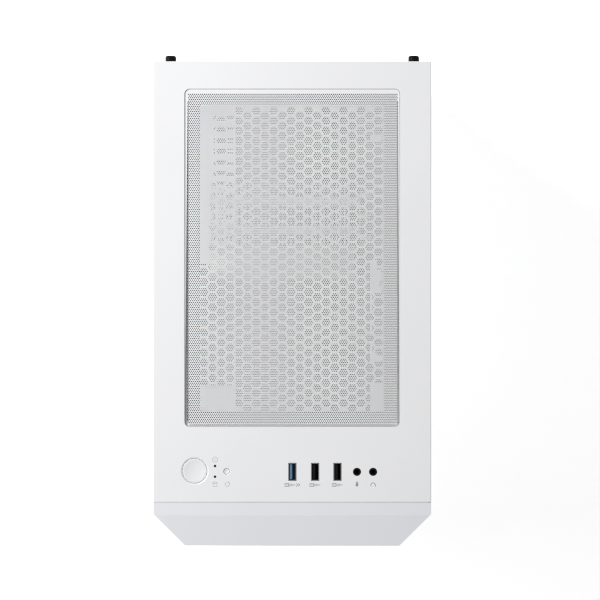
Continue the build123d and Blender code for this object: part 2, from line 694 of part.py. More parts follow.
with BuildPart() as glass_panel_frame:
    frame_x = -HALF + GLASS
    block(
        (frame_x, BODY_FRONT + 2.0, PANEL_LOW - TONGUE),
        (frame_x + SHEET, REAR, PANEL_HIGH + TONGUE),
    )
    block(
        (frame_x - 1.0, BODY_FRONT + 20.0, PANEL_LOW + 16.0),
        (frame_x + SHEET + 1.0, REAR - 18.0, PANEL_HIGH - 16.0),
        mode=Mode.SUBTRACT,
    )
    for z in (PANEL_HIGH, PANEL_LOW - TONGUE):
        block(
            (frame_x - 1.0, REAR - SHEET - 1.0, z),
            (frame_x + SHEET + 1.0, REAR + 1.0, z + TONGUE),
            mode=Mode.SUBTRACT,
        )
    rear_fold(-1)
pieces["glass_panel_frame"] = glass_panel_frame


def thumbscrew(x, z):
    """Black knurled thumbscrew with a domed head and a cross recess."""
    with BuildPart(Plane(origin=(x, REAR, z), x_dir=(1, 0, 0), z_dir=(0, 1, 0))) as screw:
        Cylinder(
            SCREW_HEAD_RADIUS, HEAD_LENGTH, align=(Align.CENTER, Align.CENTER, Align.MIN)
        )
        fillet(screw.edges().group_by(Axis.Y)[-1], radius=1.6)
        with PolarLocations(SCREW_HEAD_RADIUS + 0.15, 14):
            Cylinder(0.35, 2 * HEAD_LENGTH, mode=Mode.SUBTRACT)
        with Locations((0, 0, HEAD_LENGTH)):
            Box(3.6, 0.9, 2.4, mode=Mode.SUBTRACT)
            Box(0.9, 3.6, 2.4, mode=Mode.SUBTRACT)
        Cylinder(SCREW_SHANK_RADIUS, 10.0, align=(Align.CENTER, Align.CENTER, Align.MAX))
    return screw


for side_name, x in (("left", -SCREW_X), ("right", SCREW_X)):
    for level_name, z in (("lower", SCREW_Z[0]), ("upper", SCREW_Z[1])):
        pieces[f"thumbscrew_{side_name}_{level_name}"] = thumbscrew(x, z)

# ---------------------------------------------------------------------------
# Feet with rubber pads, and the dust filter that slides under the base.
# ---------------------------------------------------------------------------
FOOT_AT = [(x, y) for x in (-91.5, 91.5) for y in (-118.0, 150.0)]
PAD = 2.0
with BuildPart() as feet:
    with BuildSketch(Plane.XY.offset(PAD)) as outline:
        with Locations(*FOOT_AT):
            RectangleRounded(24.0, 46.0, 6.0)
    extrude(amount=FOOT - PAD)
    chamfer(feet.edges().group_by(Axis.Z)[0], length=1.5)
pieces["feet"] = feet

with BuildPart() as foot_pads:
    with BuildSketch(Plane.XY) as outline:
        with Locations(*FOOT_AT):
            RectangleRounded(18.0, 38.0, 4.0)
    extrude(amount=PAD)
pieces["foot_pads"] = foot_pads

with BuildPart() as psu_filter:
    tray_half = RAIL_X - SHEET - 0.5
    block(
        (-tray_half, FILTER_TRAY_FRONT + 2.0, FILTER_TRAY_LOW),
        (tray_half, REAR - 6.0, FILTER_TRAY_HIGH),
    )
    block(
        (-tray_half + 8.0, FILTER_TRAY_FRONT + 10.0, FILTER_TRAY_LOW + 0.8),
        (tray_half - 8.0, REAR - 16.0, FILTER_TRAY_HIGH + 1.0),
        mode=Mode.SUBTRACT,
    )
    block((-20.0, REAR - 6.0, FILTER_TRAY_LOW), (20.0, REAR - 1.0, FILTER_TRAY_HIGH))
pieces["psu_filter"] = psu_filter

# ---------------------------------------------------------------------------
# Fans. Each has a square frame with a motor hub on four struts, and a rotor
# whose shaft runs in the hub's bearing.
# ---------------------------------------------------------------------------
SHAFT_RADIUS = 1.5
BEARING_CLEARANCE = 0.05


def fan_frame(plane, size, thick, lugs=True):
    """Square fan frame; the plane lies on its strut side and its normal is the rotor's axis."""
    barrel = size / 2 - 2.0
    with BuildPart(plane) as frame:
        with BuildSketch(plane) as outer:
            RectangleRounded(size, size, 5.0)
            if lugs:
                with GridLocations(size * 0.875, size * 0.875, 2, 2):
                    Circle(2.15, mode=Mode.SUBTRACT)
        extrude(amount=thick)
        with BuildSketch(plane.offset(4.0)) as waist:
            Rectangle(size + 10.0, size + 10.0)
            Circle(size / 2 - 0.3, mode=Mode.SUBTRACT)
        extrude(amount=thick - 8.0, mode=Mode.SUBTRACT)
        Cylinder(
            barrel,
            thick,
            align=(Align.CENTER, Align.CENTER, Align.MIN),
            mode=Mode.SUBTRACT,
        )
        Cylinder(size / 6, 3.0, align=(Align.CENTER, Align.CENTER, Align.MIN))
        Cylinder(4.0, 11.0, align=(Align.CENTER, Align.CENTER, Align.MIN))
        for turn in (30.0, 120.0, 210.0, 300.0):
            with Locations(Location((0, 0, 0), (0, 0, turn))):
                with Locations((size / 4 + 2.0, 0, 1.5)):
                    Box(size / 2 - 6.0, 5.0, 3.0)
        with Locations((0, 0, 1.5)):
            Cylinder(
                SHAFT_RADIUS + BEARING_CLEARANCE,
                thick,
                align=(Align.CENTER, Align.CENTER, Align.MIN),
                mode=Mode.SUBTRACT,
            )
    return frame.part


def fan_rotor(plane, size, thick, blades=9):
    """Cupped hub on its shaft, with twisted blades."""
    hub = size / 6 + 1.0
    tip = size / 2 - 4.4
    middle = (4.0 + thick - 1.0) / 2
    with BuildPart(mode=Mode.PRIVATE) as blade:
        for radius, chord, tilt, rib in ((hub - 1.0, 17.0, 40.0, 2.0), (tip, 27.0, 24.0, 1.3)):
            section = Plane(origin=(radius, 0, middle), x_dir=(0, 1, 0), z_dir=(1, 0, 0))
            with BuildSketch(section):
                Rectangle(chord * size / 120.0, rib, rotation=tilt)
        loft()
    with BuildPart(plane) as rotor:
        with Locations((0, 0, 4.0)):
            Cylinder(hub, thick - 5.5, align=(Align.CENTER, Align.CENTER, Align.MIN))
            Cylinder(
                hub - 1.5,
                8.0,
                align=(Align.CENTER, Align.CENTER, Align.MIN),
                mode=Mode.SUBTRACT,
            )
        fillet(rotor.edges().sort_by(lambda e: abs(plane.to_local_coords(e.center()).Z))[-1], 1.5)
        with Locations((0, 0, 2.0)):
            Cylinder(SHAFT_RADIUS, thick - 6.0, align=(Align.CENTER, Align.CENTER, Align.MIN))
        with PolarLocations(0, blades):
            add(blade.part)
    return rotor.part


def fan_plane(centre, normal, x_dir):
    """Workplane on the strut side of a fan, its normal along the rotor's axis."""
    return Plane(origin=centre, x_dir=x_dir, z_dir=normal)


front_frames = []
for level_name, z in zip(("lower", "middle", "upper"), FRONT_FAN_Z):
    plane = fan_plane((0, BODY_FRONT, z), (0, -1, 0), (1, 0, 0))
    front_frames.append(fan_frame(plane, FAN, FAN_THICK))
    with BuildPart() as rotor_piece:
        add(fan_rotor(plane, FAN, FAN_THICK))
    pieces[f"front_fan_rotor_{level_name}"] = rotor_piece
with BuildPart() as front_fan_frames:
    add(front_frames)
pieces["front_fan_frames"] = front_fan_frames

rear_plane = fan_plane((REAR_FAN_AT[0], REAR_INSIDE, REAR_FAN_AT[1]), (0, -1, 0), (1, 0, 0))
with BuildPart() as rear_fan_frame:
    add(fan_frame(rear_plane, FAN, FAN_THICK))
pieces["rear_fan_frame"] = rear_fan_frame
with BuildPart() as rear_fan_rotor:
    add(fan_rotor(rear_plane, FAN, FAN_THICK))
pieces["rear_fan_rotor"] = rear_fan_rotor

# ---------------------------------------------------------------------------
# Power supply.
# ---------------------------------------------------------------------------
INLET_AT = (52.0, 72.0)
ROCKER_AT = (52.0, 40.0)
PSU_GRILLE = (100.0, 74.0)
psu_grille = perforated(
    Plane((-19.0, PSU_REAR, PSU_LOW + PSU_HEIGHT / 2), x_dir=(1, 0, 0), z_dir=(0, -1, 0)),
    *PSU_GRILLE,
    hexagon(7.6),
    honeycomb(PSU_GRILLE[0] - 8.0, PSU_GRILLE[1] - 10.0, 9.4),
)

with BuildPart() as psu_case:
    block((-PSU_HALF_WIDTH, PSU_FRONT, PSU_LOW), (PSU_HALF_WIDTH, PSU_REAR, PSU_LOW + PSU_HEIGHT))
    block(
        (-PSU_HALF_WIDTH + PSU_SHEET, PSU_FRONT + PSU_SHEET, PSU_LOW + PSU_SHEET),
        (PSU_HALF_WIDTH - PSU_SHEET, PSU_REAR - PSU_SHEET, PSU_LOW + PSU_HEIGHT - PSU_SHEET),
        mode=Mode.SUBTRACT,
    )
    with BuildSketch(Plane.XZ.offset(-PSU_REAR)) as rear_face:
        with Locations((-19.0, PSU_LOW + PSU_HEIGHT / 2)):
            Rectangle(*PSU_GRILLE)
        with Locations(INLET_AT):
            Rectangle(27.0, 20.0)
        with Locations(ROCKER_AT):
            Rectangle(21.0, 14.0)
    extrude(amount=PSU_SHEET, mode=Mode.SUBTRACT)
    with BuildSketch(Plane.XY.offset(PSU_LOW)) as intake:
        with Locations((0, PSU_VENT_Y)):
            for radius in (58.0, 48.0, 38.0, 28.0):
                Circle(radius)
                Circle(radius - 8.0, mode=Mode.SUBTRACT)
            Rectangle(118.0, 3.0, mode=Mode.SUBTRACT)
            Rectangle(3.0, 118.0, mode=Mode.SUBTRACT)
    extrude(amount=PSU_SHEET, mode=Mode.SUBTRACT)
    with Locations((0, PSU_VENT_Y, PSU_LOW + PSU_SHEET)):
        Cylinder(4.0, 8.0, align=(Align.CENTER, Align.CENTER, Align.MIN))
        Cylinder(
            SHAFT_RADIUS + BEARING_CLEARANCE,
            8.1,
            align=(Align.CENTER, Align.CENTER, Align.MIN),
            mode=Mode.SUBTRACT,
        )
    extrude(psu_grille, amount=PSU_SHEET, dir=(0, -1, 0), clean=False)
pieces["psu_case"] = psu_case

psu_plane = Plane(origin=(0, PSU_VENT_Y, PSU_LOW + PSU_SHEET), x_dir=(1, 0, 0), z_dir=(0, 0, 1))
with BuildPart() as psu_fan_rotor:
    add(fan_rotor(psu_plane, 116.0, FAN_THICK))
pieces["psu_fan_rotor"] = psu_fan_rotor

with BuildPart() as psu_inlet:
    x, z = INLET_AT
    block((x - 13.3, PSU_REAR - 16.0, z - 9.8), (x + 13.3, PSU_REAR, z + 9.8))
    block((x - 15.0, PSU_REAR, z - 11.5), (x + 15.0, PSU_REAR + 1.2, z + 11.5))
    block(
        (x - 11.5, PSU_REAR - 13.0, z - 8.0), (x + 11.5, PSU_REAR + 2.0, z + 8.0), mode=Mode.SUBTRACT
    )
    for dx, dz in ((-7.0, -2.0), (0.0, 3.0), (7.0, -2.0)):
        block((x + dx - 1.0, PSU_REAR - 13.5, z + dz - 2.0), (x + dx + 1.0, PSU_REAR - 2.0, z + dz + 2.0))
pieces["psu_inlet"] = psu_inlet

ROCKER_HALF = (9.5, 6.2)
with BuildPart() as psu_switch:
    x, z = ROCKER_AT
    with BuildSketch(Plane.XY.offset(z - ROCKER_HALF[1])) as profile:
        with BuildLine():
            Polyline(
                (x - ROCKER_HALF[0], PSU_REAR - 3.2),
                (x - ROCKER_HALF[0] + 0.6, PSU_REAR + 1.2),
                (x, PSU_REAR - 0.2),
                (x + ROCKER_HALF[0] - 0.9, PSU_REAR - 2.6),
                (x + ROCKER_HALF[0] - 1.6, PSU_REAR - 4.6),
                (x, PSU_REAR - 6.0),
                close=True,
            )
        make_face()
    extrude(amount=2 * ROCKER_HALF[1])
pieces["psu_switch"] = psu_switch

# ---------------------------------------------------------------------------
# Motherboard and what is on it.
# ---------------------------------------------------------------------------
STANDOFF_AT = [
    (MAIN_BOARD_REAR - dy, MAIN_BOARD_HIGH - dz)
    for dy in (6.4, 163.8, 237.0)
    for dz in (10.2, 165.1, 297.0)
]
with BuildPart() as motherboard:
    block(
        (BOARD_FACE, MAIN_BOARD_FRONT, MAIN_BOARD_LOW), (BOARD_X, MAIN_BOARD_REAR, MAIN_BOARD_HIGH)
    )
    with BuildSketch(Plane.YZ.offset(BOARD_FACE)) as holes:
        with Locations(*STANDOFF_AT):
            Circle(1.95)
    extrude(amount=BOARD_SHEET, mode=Mode.SUBTRACT)
pieces["motherboard"] = motherboard

with BuildPart() as board_standoffs:
    with BuildSketch(Plane.YZ.offset(BOARD_X)) as hexes:
        with Locations(*STANDOFF_AT):
            RegularPolygon(2.9, 6, major_radius=False)
    extrude(amount=TRAY_X - BOARD_X)
    with BuildSketch(Plane.YZ.offset(BOARD_FACE - 1.8)) as heads:
        with Locations(*STANDOFF_AT):
            Circle(3.0)
    extrude(amount=1.8)
    with BuildSketch(Plane.YZ.offset(BOARD_FACE)) as shanks:
        with Locations(*STANDOFF_AT):
            Circle(1.6)
    extrude(amount=BOARD_SHEET)
pieces["board_standoffs"] = board_standoffs

# Sockets at the board's rear edge: (centre height, width, depth off the board, openings).
SOCKET_STACKS = [
    (439.5, 16.0, 30.0, "usb"),
    (418.5, 19.0, 20.0, "video"),
    (396.0, 16.0, 30.0, "usb"),
    (374.0, 17.0, 30.0, "network"),
    (352.0, 16.0, 30.0, "usb"),
    (322.0, 30.0, 34.0, "audio"),
]
SOCKET_FRONT = 157.0
SOCKET_REAR = REAR_SKIN - 0.1
with BuildPart() as rear_sockets:
    for z, width, depth, kind in SOCKET_STACKS:
        block((BOARD_FACE - depth, SOCKET_FRONT, z - width / 2), (BOARD_FACE, SOCKET_REAR, z + width / 2))
        with BuildSketch(Plane.XZ.offset(-SOCKET_REAR)) as mouths:
            if kind == "usb":
                with Locations((BOARD_FACE - 7.0, z), (BOARD_FACE - 21.0, z)):
                    Rectangle(5.6, 13.0)
            elif kind == "video":
                with Locations((BOARD_FACE - 8.0, z)):
                    Rectangle(6.0, 14.5)
            elif kind == "network":
                with Locations((BOARD_FACE - 22.0, z)):
                    Rectangle(8.5, 12.0)
                with Locations((BOARD_FACE - 7.0, z)):
                    Rectangle(5.6, 13.0)
            else:
                with Locations((BOARD_FACE - 17.0, z)):
                    with GridLocations(11.0, 14.0, 3, 2):
                        Circle(2.4)
        extrude(amount=12.0, mode=Mode.SUBTRACT)
pieces["rear_sockets"] = rear_sockets

with BuildPart() as socket_shield:
    low, high = IO_APERTURE
    block((low[0] + 0.2, REAR_SKIN - 0.7, low[1] + 0.2), (high[0] - 0.2, REAR_SKIN - 0.2, high[1] - 0.2))
    for z, width, depth, kind in SOCKET_STACKS:
        block(
            (BOARD_FACE - depth - 0.4, REAR_SKIN - 1.0, z - width / 2 - 0.4),
            (BOARD_FACE + 0.4, REAR_SKIN + 1.0, z + width / 2 + 0.4),
            mode=Mode.SUBTRACT,
        )
pieces["socket_shield"] = socket_shield

MEMORY_Y = [-12.0, -21.0, -30.0, -39.0]
SLOT_FACE = BOARD_FACE - 11.0
with BuildPart() as board_slots:
    for y in MEMORY_Y:
        block((BOARD_FACE - 7.0, y - 3.2, 313.0), (BOARD_FACE, y + 3.2, 455.0))
    for z in (SLOT_TOP_Z + 4.0, SLOT_TOP_Z + 4.0 - 3 * SLOT_PITCH):
        block((SLOT_FACE, 32.0, z - 3.7), (BOARD_FACE, 121.0, z + 3.7))
    block((BOARD_FACE - 12.0, -64.0, 345.0), (BOARD_FACE, -54.0, 397.0))
    block((BOARD_FACE - 12.0, 128.0, 448.0), (BOARD_FACE, 146.0, 458.0))
    block((BOARD_FACE - 6.0, 42.0, 362.0), (BOARD_FACE, 88.0, 406.0))
    block((BOARD_FACE - 10.0, -64.0, 200.0), (BOARD_FACE, -50.0, 232.0))
pieces["board_slots"] = board_slots

with BuildPart() as board_heatsinks:
    finned = (
        ((52.0, 129.0, 345.0), (BOARD_FACE, 150.0, 440.0)),
        ((52.0, 40.0, 436.0), (BOARD_FACE, 120.0, 452.0)),
    )
    for low, high in finned:
        block(low, high)
        count = 5
        for i in range(count):
            if high[1] - low[1] < high[2] - low[2]:
                z = low[2] + (high[2] - low[2]) * (i + 0.5) / count
                block(
                    (low[0] - 1, low[1] - 1, z - 2.0),
                    (low[0] + 8, high[1] + 1, z + 2.0),
                    mode=Mode.SUBTRACT,
                )
            else:
                y = low[1] + (high[1] - low[1]) * (i + 0.5) / count
                block(
                    (low[0] - 1, y - 2.0, low[2] - 1),
                    (low[0] + 8, y + 2.0, high[2] + 1),
                    mode=Mode.SUBTRACT,
                )
    block((BOARD_FACE - 8.0, -42.0, 172.0), (BOARD_FACE, 6.0, 228.0))
    block((BOARD_FACE - 6.0, 24.0, 300.0), (BOARD_FACE, 110.0, 322.0))
pieces["board_heatsinks"] = board_heatsinks

with BuildPart() as memory_modules:
    for y in (MEMORY_Y[0], MEMORY_Y[2]):
        with BuildSketch(Plane.XZ.offset(-y - 2.8)) as outline:
            with BuildLine():
                Polyline(
                    (BOARD_FACE - 7.0, 317.5),
                    (BOARD_FACE - 7.0, 450.5),
                    (BOARD_FACE - 36.0, 450.5),
                    (BOARD_FACE - 40.0, 440.0),
                    (BOARD_FACE - 40.0, 328.0),
                    (BOARD_FACE - 36.0, 317.5),
                    close=True,
                )
            make_face()
        extrude(amount=5.6)
pieces["memory_modules"] = memory_modules

# ---------------------------------------------------------------------------
# Processor cooler: base, heat pipes and a fin stack, with its fan in front.
# ---------------------------------------------------------------------------
FIN_FRONT = 42.0
FIN_REAR = 90.0
FIN_LOW = 324.0
FIN_HIGH = 432.0
FIN_COUNT = 34
FIN_PITCH = 3.2
with BuildPart() as cooler_heatsink:
    block((BOARD_FACE - 20.0, 45.0, 364.0), (BOARD_FACE - 6.0, 85.0, 404.0))
    with BuildSketch(Plane.YZ.offset(44.0 - FIN_COUNT * FIN_PITCH)) as pipes:
        with Locations(*[(y, 384.0 + dz) for y in (54.0, 76.0) for dz in (-33.0, -11.0, 11.0, 33.0)]):
            Circle(3.0)
    extrude(amount=FIN_COUNT * FIN_PITCH + 10.0)
    block((BOARD_FACE - 20.5, 48.0, 348.0), (BOARD_FACE - 14.0, 82.0, 420.0))
    for i in range(FIN_COUNT):
        x = 44.0 - i * FIN_PITCH
        block((x - 0.6, FIN_FRONT, FIN_LOW), (x, FIN_REAR, FIN_HIGH))
pieces["cooler_heatsink"] = cooler_heatsink

cooler_plane = fan_plane((-8.0, FIN_FRONT - 0.4, 378.0), (0, -1, 0), (1, 0, 0))
with BuildPart() as cooler_fan_frame:
    add(fan_frame(cooler_plane, 112.0, FAN_THICK))
pieces["cooler_fan_frame"] = cooler_fan_frame
with BuildPart() as cooler_fan_rotor:
    add(fan_rotor(cooler_plane, 112.0, FAN_THICK))
pieces["cooler_fan_rotor"] = cooler_fan_rotor

# ---------------------------------------------------------------------------
# Graphics card across the tower, fans facing down, and the blank slot covers.
# ---------------------------------------------------------------------------
CARD_FRONT = -88.0
CARD_Z = SLOT_TOP_Z + 3.2
with BuildPart() as graphics_card:
    block((-45.0, CARD_FRONT, CARD_Z), (SLOT_FACE, 176.0, CARD_Z + BOARD_SHEET))
    block((-45.0, CARD_FRONT, CARD_Z + BOARD_SHEET), (SLOT_FACE - 4.0, 174.0, CARD_Z + 4.0))
    block(
        (-47.0, REAR_INSIDE - 2.0, SLOT_TOP_Z - 30.0),
        (SLOT_FACE, REAR_INSIDE - 1.0, SLOT_TOP_Z + 8.0),
    )
    with BuildSketch(Plane.XZ.offset(-REAR_INSIDE + 1.0)) as sockets:
        with Locations(*[(x, SLOT_TOP_Z - SLOT_PITCH) for x in (-30.0, -8.0, 14.0, 36.0)]):
            Rectangle(17.0, 7.0)
    extrude(amount=1.0, mode=Mode.SUBTRACT)
pieces["graphics_card"] = graphics_card

GPU_FAN_Y = [-36.0, 74.0]
GPU_FAN_X = 7.0
GPU_LOW = 240.0
with BuildPart() as graphics_shroud:
    block((-46.0, CARD_FRONT - 1.0, GPU_LOW), (SLOT_FACE - 1.0, 172.0, CARD_Z))
    chamfer(graphics_shroud.faces().sort_by(Axis.Z)[0].edges(), length=6.0)
    with BuildSketch(Plane.XY.offset(GPU_LOW)) as wells:
        with Locations(*[(GPU_FAN_X, y) for y in GPU_FAN_Y]):
            Circle(46.5)
    extrude(amount=24.0, mode=Mode.SUBTRACT)
    with Locations(*[(GPU_FAN_X, y, GPU_LOW + 24.0) for y in GPU_FAN_Y]):
        Cylinder(4.0, 10.0, align=(Align.CENTER, Align.CENTER, Align.MAX))
        Cylinder(
            SHAFT_RADIUS + BEARING_CLEARANCE,
            10.1,
            align=(Align.CENTER, Align.CENTER, Align.MAX),
            mode=Mode.SUBTRACT,
        )
pieces["graphics_shroud"] = graphics_shroud

for end_name, y in zip(("front", "rear"), GPU_FAN_Y):
    plane = Plane(origin=(GPU_FAN_X, y, GPU_LOW + 24.0), x_dir=(1, 0, 0), z_dir=(0, 0, -1))
    with BuildPart() as rotor_piece:
        add(fan_rotor(plane, 90.0, 23.0, blades=11))
    pieces[f"graphics_fan_rotor_{end_name}"] = rotor_piece

with BuildPart() as slot_covers:
    for i in range(CARD_SLOTS, SLOT_COUNT):
        z = SLOT_TOP_Z - i * SLOT_PITCH
        with BuildSketch(Plane.XZ.offset(-REAR_INSIDE)) as cover:
            with Locations((13.0, z)):
                RectangleRounded(118.0, 18.4, 1.0)
            with Locations((13.0, z)):
                with GridLocations(24.0, 1.0, 4, 1):
                    SlotOverall(19.0, 5.0, mode=Mode.SUBTRACT)
        extrude(amount=0.8)
        block((-47.0, REAR_INSIDE - 10.0, z - 9.2), (-46.0, REAR_INSIDE, z + 9.2))
pieces["slot_covers"] = slot_covers

# ---------------------------------------------------------------------------
# Write every piece under its own name.
# ---------------------------------------------------------------------------
for name, piece in pieces.items():
    piece.part.label = name
    export_step(piece.part, f"parts/{name}.step")
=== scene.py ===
import math

import bmesh
import bpy
from mathutils import Matrix, Vector
from mathutils.geometry import tessellate_polygon


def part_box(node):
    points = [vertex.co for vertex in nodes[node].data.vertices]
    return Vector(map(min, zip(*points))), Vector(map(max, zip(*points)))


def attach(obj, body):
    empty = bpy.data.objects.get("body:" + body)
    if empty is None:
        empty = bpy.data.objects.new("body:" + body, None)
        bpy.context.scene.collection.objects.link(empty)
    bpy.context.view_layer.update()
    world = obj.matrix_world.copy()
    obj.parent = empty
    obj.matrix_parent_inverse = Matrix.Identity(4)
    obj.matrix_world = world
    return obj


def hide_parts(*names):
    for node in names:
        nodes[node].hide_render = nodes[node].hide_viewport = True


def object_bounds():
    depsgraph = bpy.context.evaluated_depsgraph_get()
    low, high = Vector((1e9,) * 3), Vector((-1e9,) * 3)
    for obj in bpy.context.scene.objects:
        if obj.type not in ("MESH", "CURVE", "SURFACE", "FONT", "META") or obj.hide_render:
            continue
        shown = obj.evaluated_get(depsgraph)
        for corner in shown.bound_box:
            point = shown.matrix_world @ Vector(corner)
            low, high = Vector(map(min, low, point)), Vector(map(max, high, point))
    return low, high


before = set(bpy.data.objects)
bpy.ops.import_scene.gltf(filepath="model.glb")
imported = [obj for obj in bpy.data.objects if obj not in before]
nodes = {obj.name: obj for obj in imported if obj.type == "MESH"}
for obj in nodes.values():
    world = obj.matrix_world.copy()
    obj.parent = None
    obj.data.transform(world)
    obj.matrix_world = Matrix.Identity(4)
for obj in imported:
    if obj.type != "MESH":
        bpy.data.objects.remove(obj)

cad_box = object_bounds()
box_low, box_high = cad_box
top_z = box_high.z


# --- Camera ---------------------------------------------------------------
# A long lens high above the lid, square to it, so that the tower shows almost
# without perspective. The aim is a little to the right of the tower's middle.
VIEW_WIDTH = 0.4532
CAMERA_HEIGHT = 4.0
AIM_X = 0.0059
camera_data = bpy.data.cameras.new("camera")
camera_data.sensor_width = 36.0
camera_data.lens = camera_data.sensor_width * CAMERA_HEIGHT / VIEW_WIDTH
camera_data.clip_end = 40.0
camera = bpy.data.objects.new("camera", camera_data)
camera.location = (AIM_X, 0.0, top_z + CAMERA_HEIGHT)
bpy.context.scene.collection.objects.link(camera)
bpy.context.scene.camera = camera


# --- Floor and light --------------------------------------------------------
# A plain white floor, an even sky and one large soft lamp from the rear left,
# with a weaker one below the lid's level on the glass side, which lights the
# inside. The noise filter reads its guides unsmoothed, to keep the small holes.
SKY = 0.36
KEY_PLACE = (-1.19, 0.58, top_z + 1.12)
KEY_SIZE = 0.9
KEY_POWER = 34.0
SIDE_PLACE = (-1.30, 0.0, 0.20)
SIDE_SIZE = 0.42
SIDE_POWER = 12.0
FLOOR_HALF = 5.0
FLOOR_SHADE = 0.92
FLOOR_GLOW = 0.60
EDGE_SOFTNESS = 1.3
BRIGHTEST_BOUNCE = 1.5

world = bpy.data.worlds.new("soft_sky")
world.use_nodes = True
sky = world.node_tree.nodes["Background"]
sky.inputs["Color"].default_value = (1.0, 1.0, 1.0, 1.0)
sky.inputs["Strength"].default_value = SKY
bpy.context.scene.world = world
bpy.context.scene.view_settings.view_transform = "Standard"
bpy.context.scene.cycles.denoising_prefilter = "NONE"
bpy.context.scene.cycles.sample_clamp_indirect = BRIGHTEST_BOUNCE
bpy.context.scene.cycles.filter_width = EDGE_SOFTNESS


def soft_lamp(name, place, size, power, aim):
    lamp = bpy.data.lights.new(name, "AREA")
    lamp.shape = "SQUARE"
    lamp.size = size
    lamp.energy = power
    holder = bpy.data.objects.new(name, lamp)
    holder.location = place
    direction = Vector(aim) - Vector(place)
    holder.rotation_mode = "QUATERNION"
    holder.rotation_quaternion = direction.to_track_quat("-Z", "Y")
    bpy.context.scene.collection.objects.link(holder)


soft_lamp("key_lamp", KEY_PLACE, KEY_SIZE, KEY_POWER, (0.0, 0.0, top_z))
soft_lamp("side_lamp", SIDE_PLACE, SIDE_SIZE, SIDE_POWER, (0.0, 0.0, SIDE_PLACE[2]))

floor_mesh = bpy.data.meshes.new("floor")
floor_mesh.from_pydata(
    [(x, y, 0.0) for x, y in ((-1, -1), (1, -1), (1, 1), (-1, 1))], [], [(0, 1, 2, 3)]
)
floor_mesh.transform(Matrix.Scale(FLOOR_HALF, 4))
floor = bpy.data.objects.new("floor", floor_mesh)
bpy.context.scene.collection.objects.link(floor)
floor_paper = bpy.data.materials.new("floor_paper")
floor_paper.use_nodes = True
floor_shader = floor_paper.node_tree.nodes["Principled BSDF"]
floor_shader.inputs["Base Color"].default_value = (FLOOR_SHADE, FLOOR_SHADE, FLOOR_SHADE, 1.0)
floor_shader.inputs["Roughness"].default_value = 0.9
floor_shader.inputs["Emission Color"].default_value = (1.0, 1.0, 1.0, 1.0)
floor_shader.inputs["Emission Strength"].default_value = FLOOR_GLOW
floor_mesh.materials.append(floor_paper)


# --- Steel chassis ----------------------------------------------------------
# Base pan, rear panel, bulkhead, tray, shroud and drive cage are folded 1 mm
# steel sheet with a white powder coat, which has a fine orange-peel grain.
COAT_WHITE = (0.800, 0.802, 0.812)


def node_group(name, inputs, outputs):
    """Empty shader node group with its sockets, and its input and output nodes."""
    group = bpy.data.node_groups.new(name, "ShaderNodeTree")
    for title, kind, value in inputs:
        made = group.interface.new_socket(name=title, in_out="INPUT", socket_type=kind)
        made.default_value = value
    for title, kind in outputs:
        group.interface.new_socket(name=title, in_out="OUTPUT", socket_type=kind)
    entry = group.nodes.new("NodeGroupInput")
    leave = group.nodes.new("NodeGroupOutput")
    return group, entry, leave


def spread(group, source, low, high):
    """Maps a 0 to 1 mask onto the range between two sockets or numbers."""
    ramp = group.nodes.new("ShaderNodeMapRange")
    group.links.new(source, ramp.inputs["Value"])
    for title, value in (("To Min", low), ("To Max", high)):
        if isinstance(value, float):
            ramp.inputs[title].default_value = value
        else:
            group.links.new(value, ramp.inputs[title])
    return ramp.outputs["Result"]


def maths(group, operation, first, second):
    """One maths node on two sockets or numbers."""
    step = group.nodes.new("ShaderNodeMath")
    step.operation = operation
    for i, value in enumerate((first, second)):
        if isinstance(value, float):
            step.inputs[i].default_value = value
        else:
            group.links.new(value, step.inputs[i])
    return step.outputs["Value"]


def noise_mask(group, scale, detail=2.0, stretch=None):
    """Noise over the piece's own coordinates, as a 0 to 1 mask."""
    place = group.nodes.new("ShaderNodeTexCoord")
    noise = group.nodes.new("ShaderNodeTexNoise")
    noise.inputs["Detail"].default_value = detail
    vector = place.outputs["Object"]
    if stretch:
        mapping = group.nodes.new("ShaderNodeMapping")
        mapping.inputs["Scale"].default_value = stretch
        group.links.new(vector, mapping.inputs["Vector"])
        vector = mapping.outputs["Vector"]
    group.links.new(vector, noise.inputs["Vector"])
    if isinstance(scale, float):
        noise.inputs["Scale"].default_value = scale
    else:
        group.links.new(scale, noise.inputs["Scale"])
    return noise.outputs["Fac"]


def shade(group, colour, factor):
    """The colour made lighter or darker by a factor that changes over the surface."""
    scaled = group.nodes.new("ShaderNodeVectorMath")
    scaled.operation = "SCALE"
    group.links.new(colour, scaled.inputs[0])
    group.links.new(factor, scaled.inputs["Scale"])
    return scaled.outputs["Vector"]


grain_group, entry, leave = node_group(
    "fine_grain",
    [
        ("Colour", "NodeSocketColor", (0.8, 0.8, 0.8, 1.0)),
        ("Shade Spread", "NodeSocketFloat", 0.02),
        ("Cloud Scale", "NodeSocketFloat", 14.0),
        ("Grain Scale", "NodeSocketFloat", 1400.0),
        ("Roughness", "NodeSocketFloat", 0.45),
        ("Roughness Spread", "NodeSocketFloat", 0.06),
    ],
    [
        ("Colour", "NodeSocketColor"),
        ("Roughness", "NodeSocketFloat"),
        ("Height", "NodeSocketFloat"),
    ],
)
cloud = noise_mask(grain_group, entry.outputs["Cloud Scale"], 3.0)
grain = noise_mask(grain_group, entry.outputs["Grain Scale"], 2.0)
darker = maths(grain_group, "SUBTRACT", 1.0, entry.outputs["Shade Spread"])
lighter = maths(grain_group, "ADD", 1.0, entry.outputs["Shade Spread"])
grain_group.links.new(
    shade(grain_group, entry.outputs["Colour"], spread(grain_group, cloud, darker, lighter)),
    leave.inputs["Colour"],
)
smoother = maths(
    grain_group, "SUBTRACT", entry.outputs["Roughness"], entry.outputs["Roughness Spread"]
)
rougher = maths(
    grain_group, "ADD", entry.outputs["Roughness"], entry.outputs["Roughness Spread"]
)
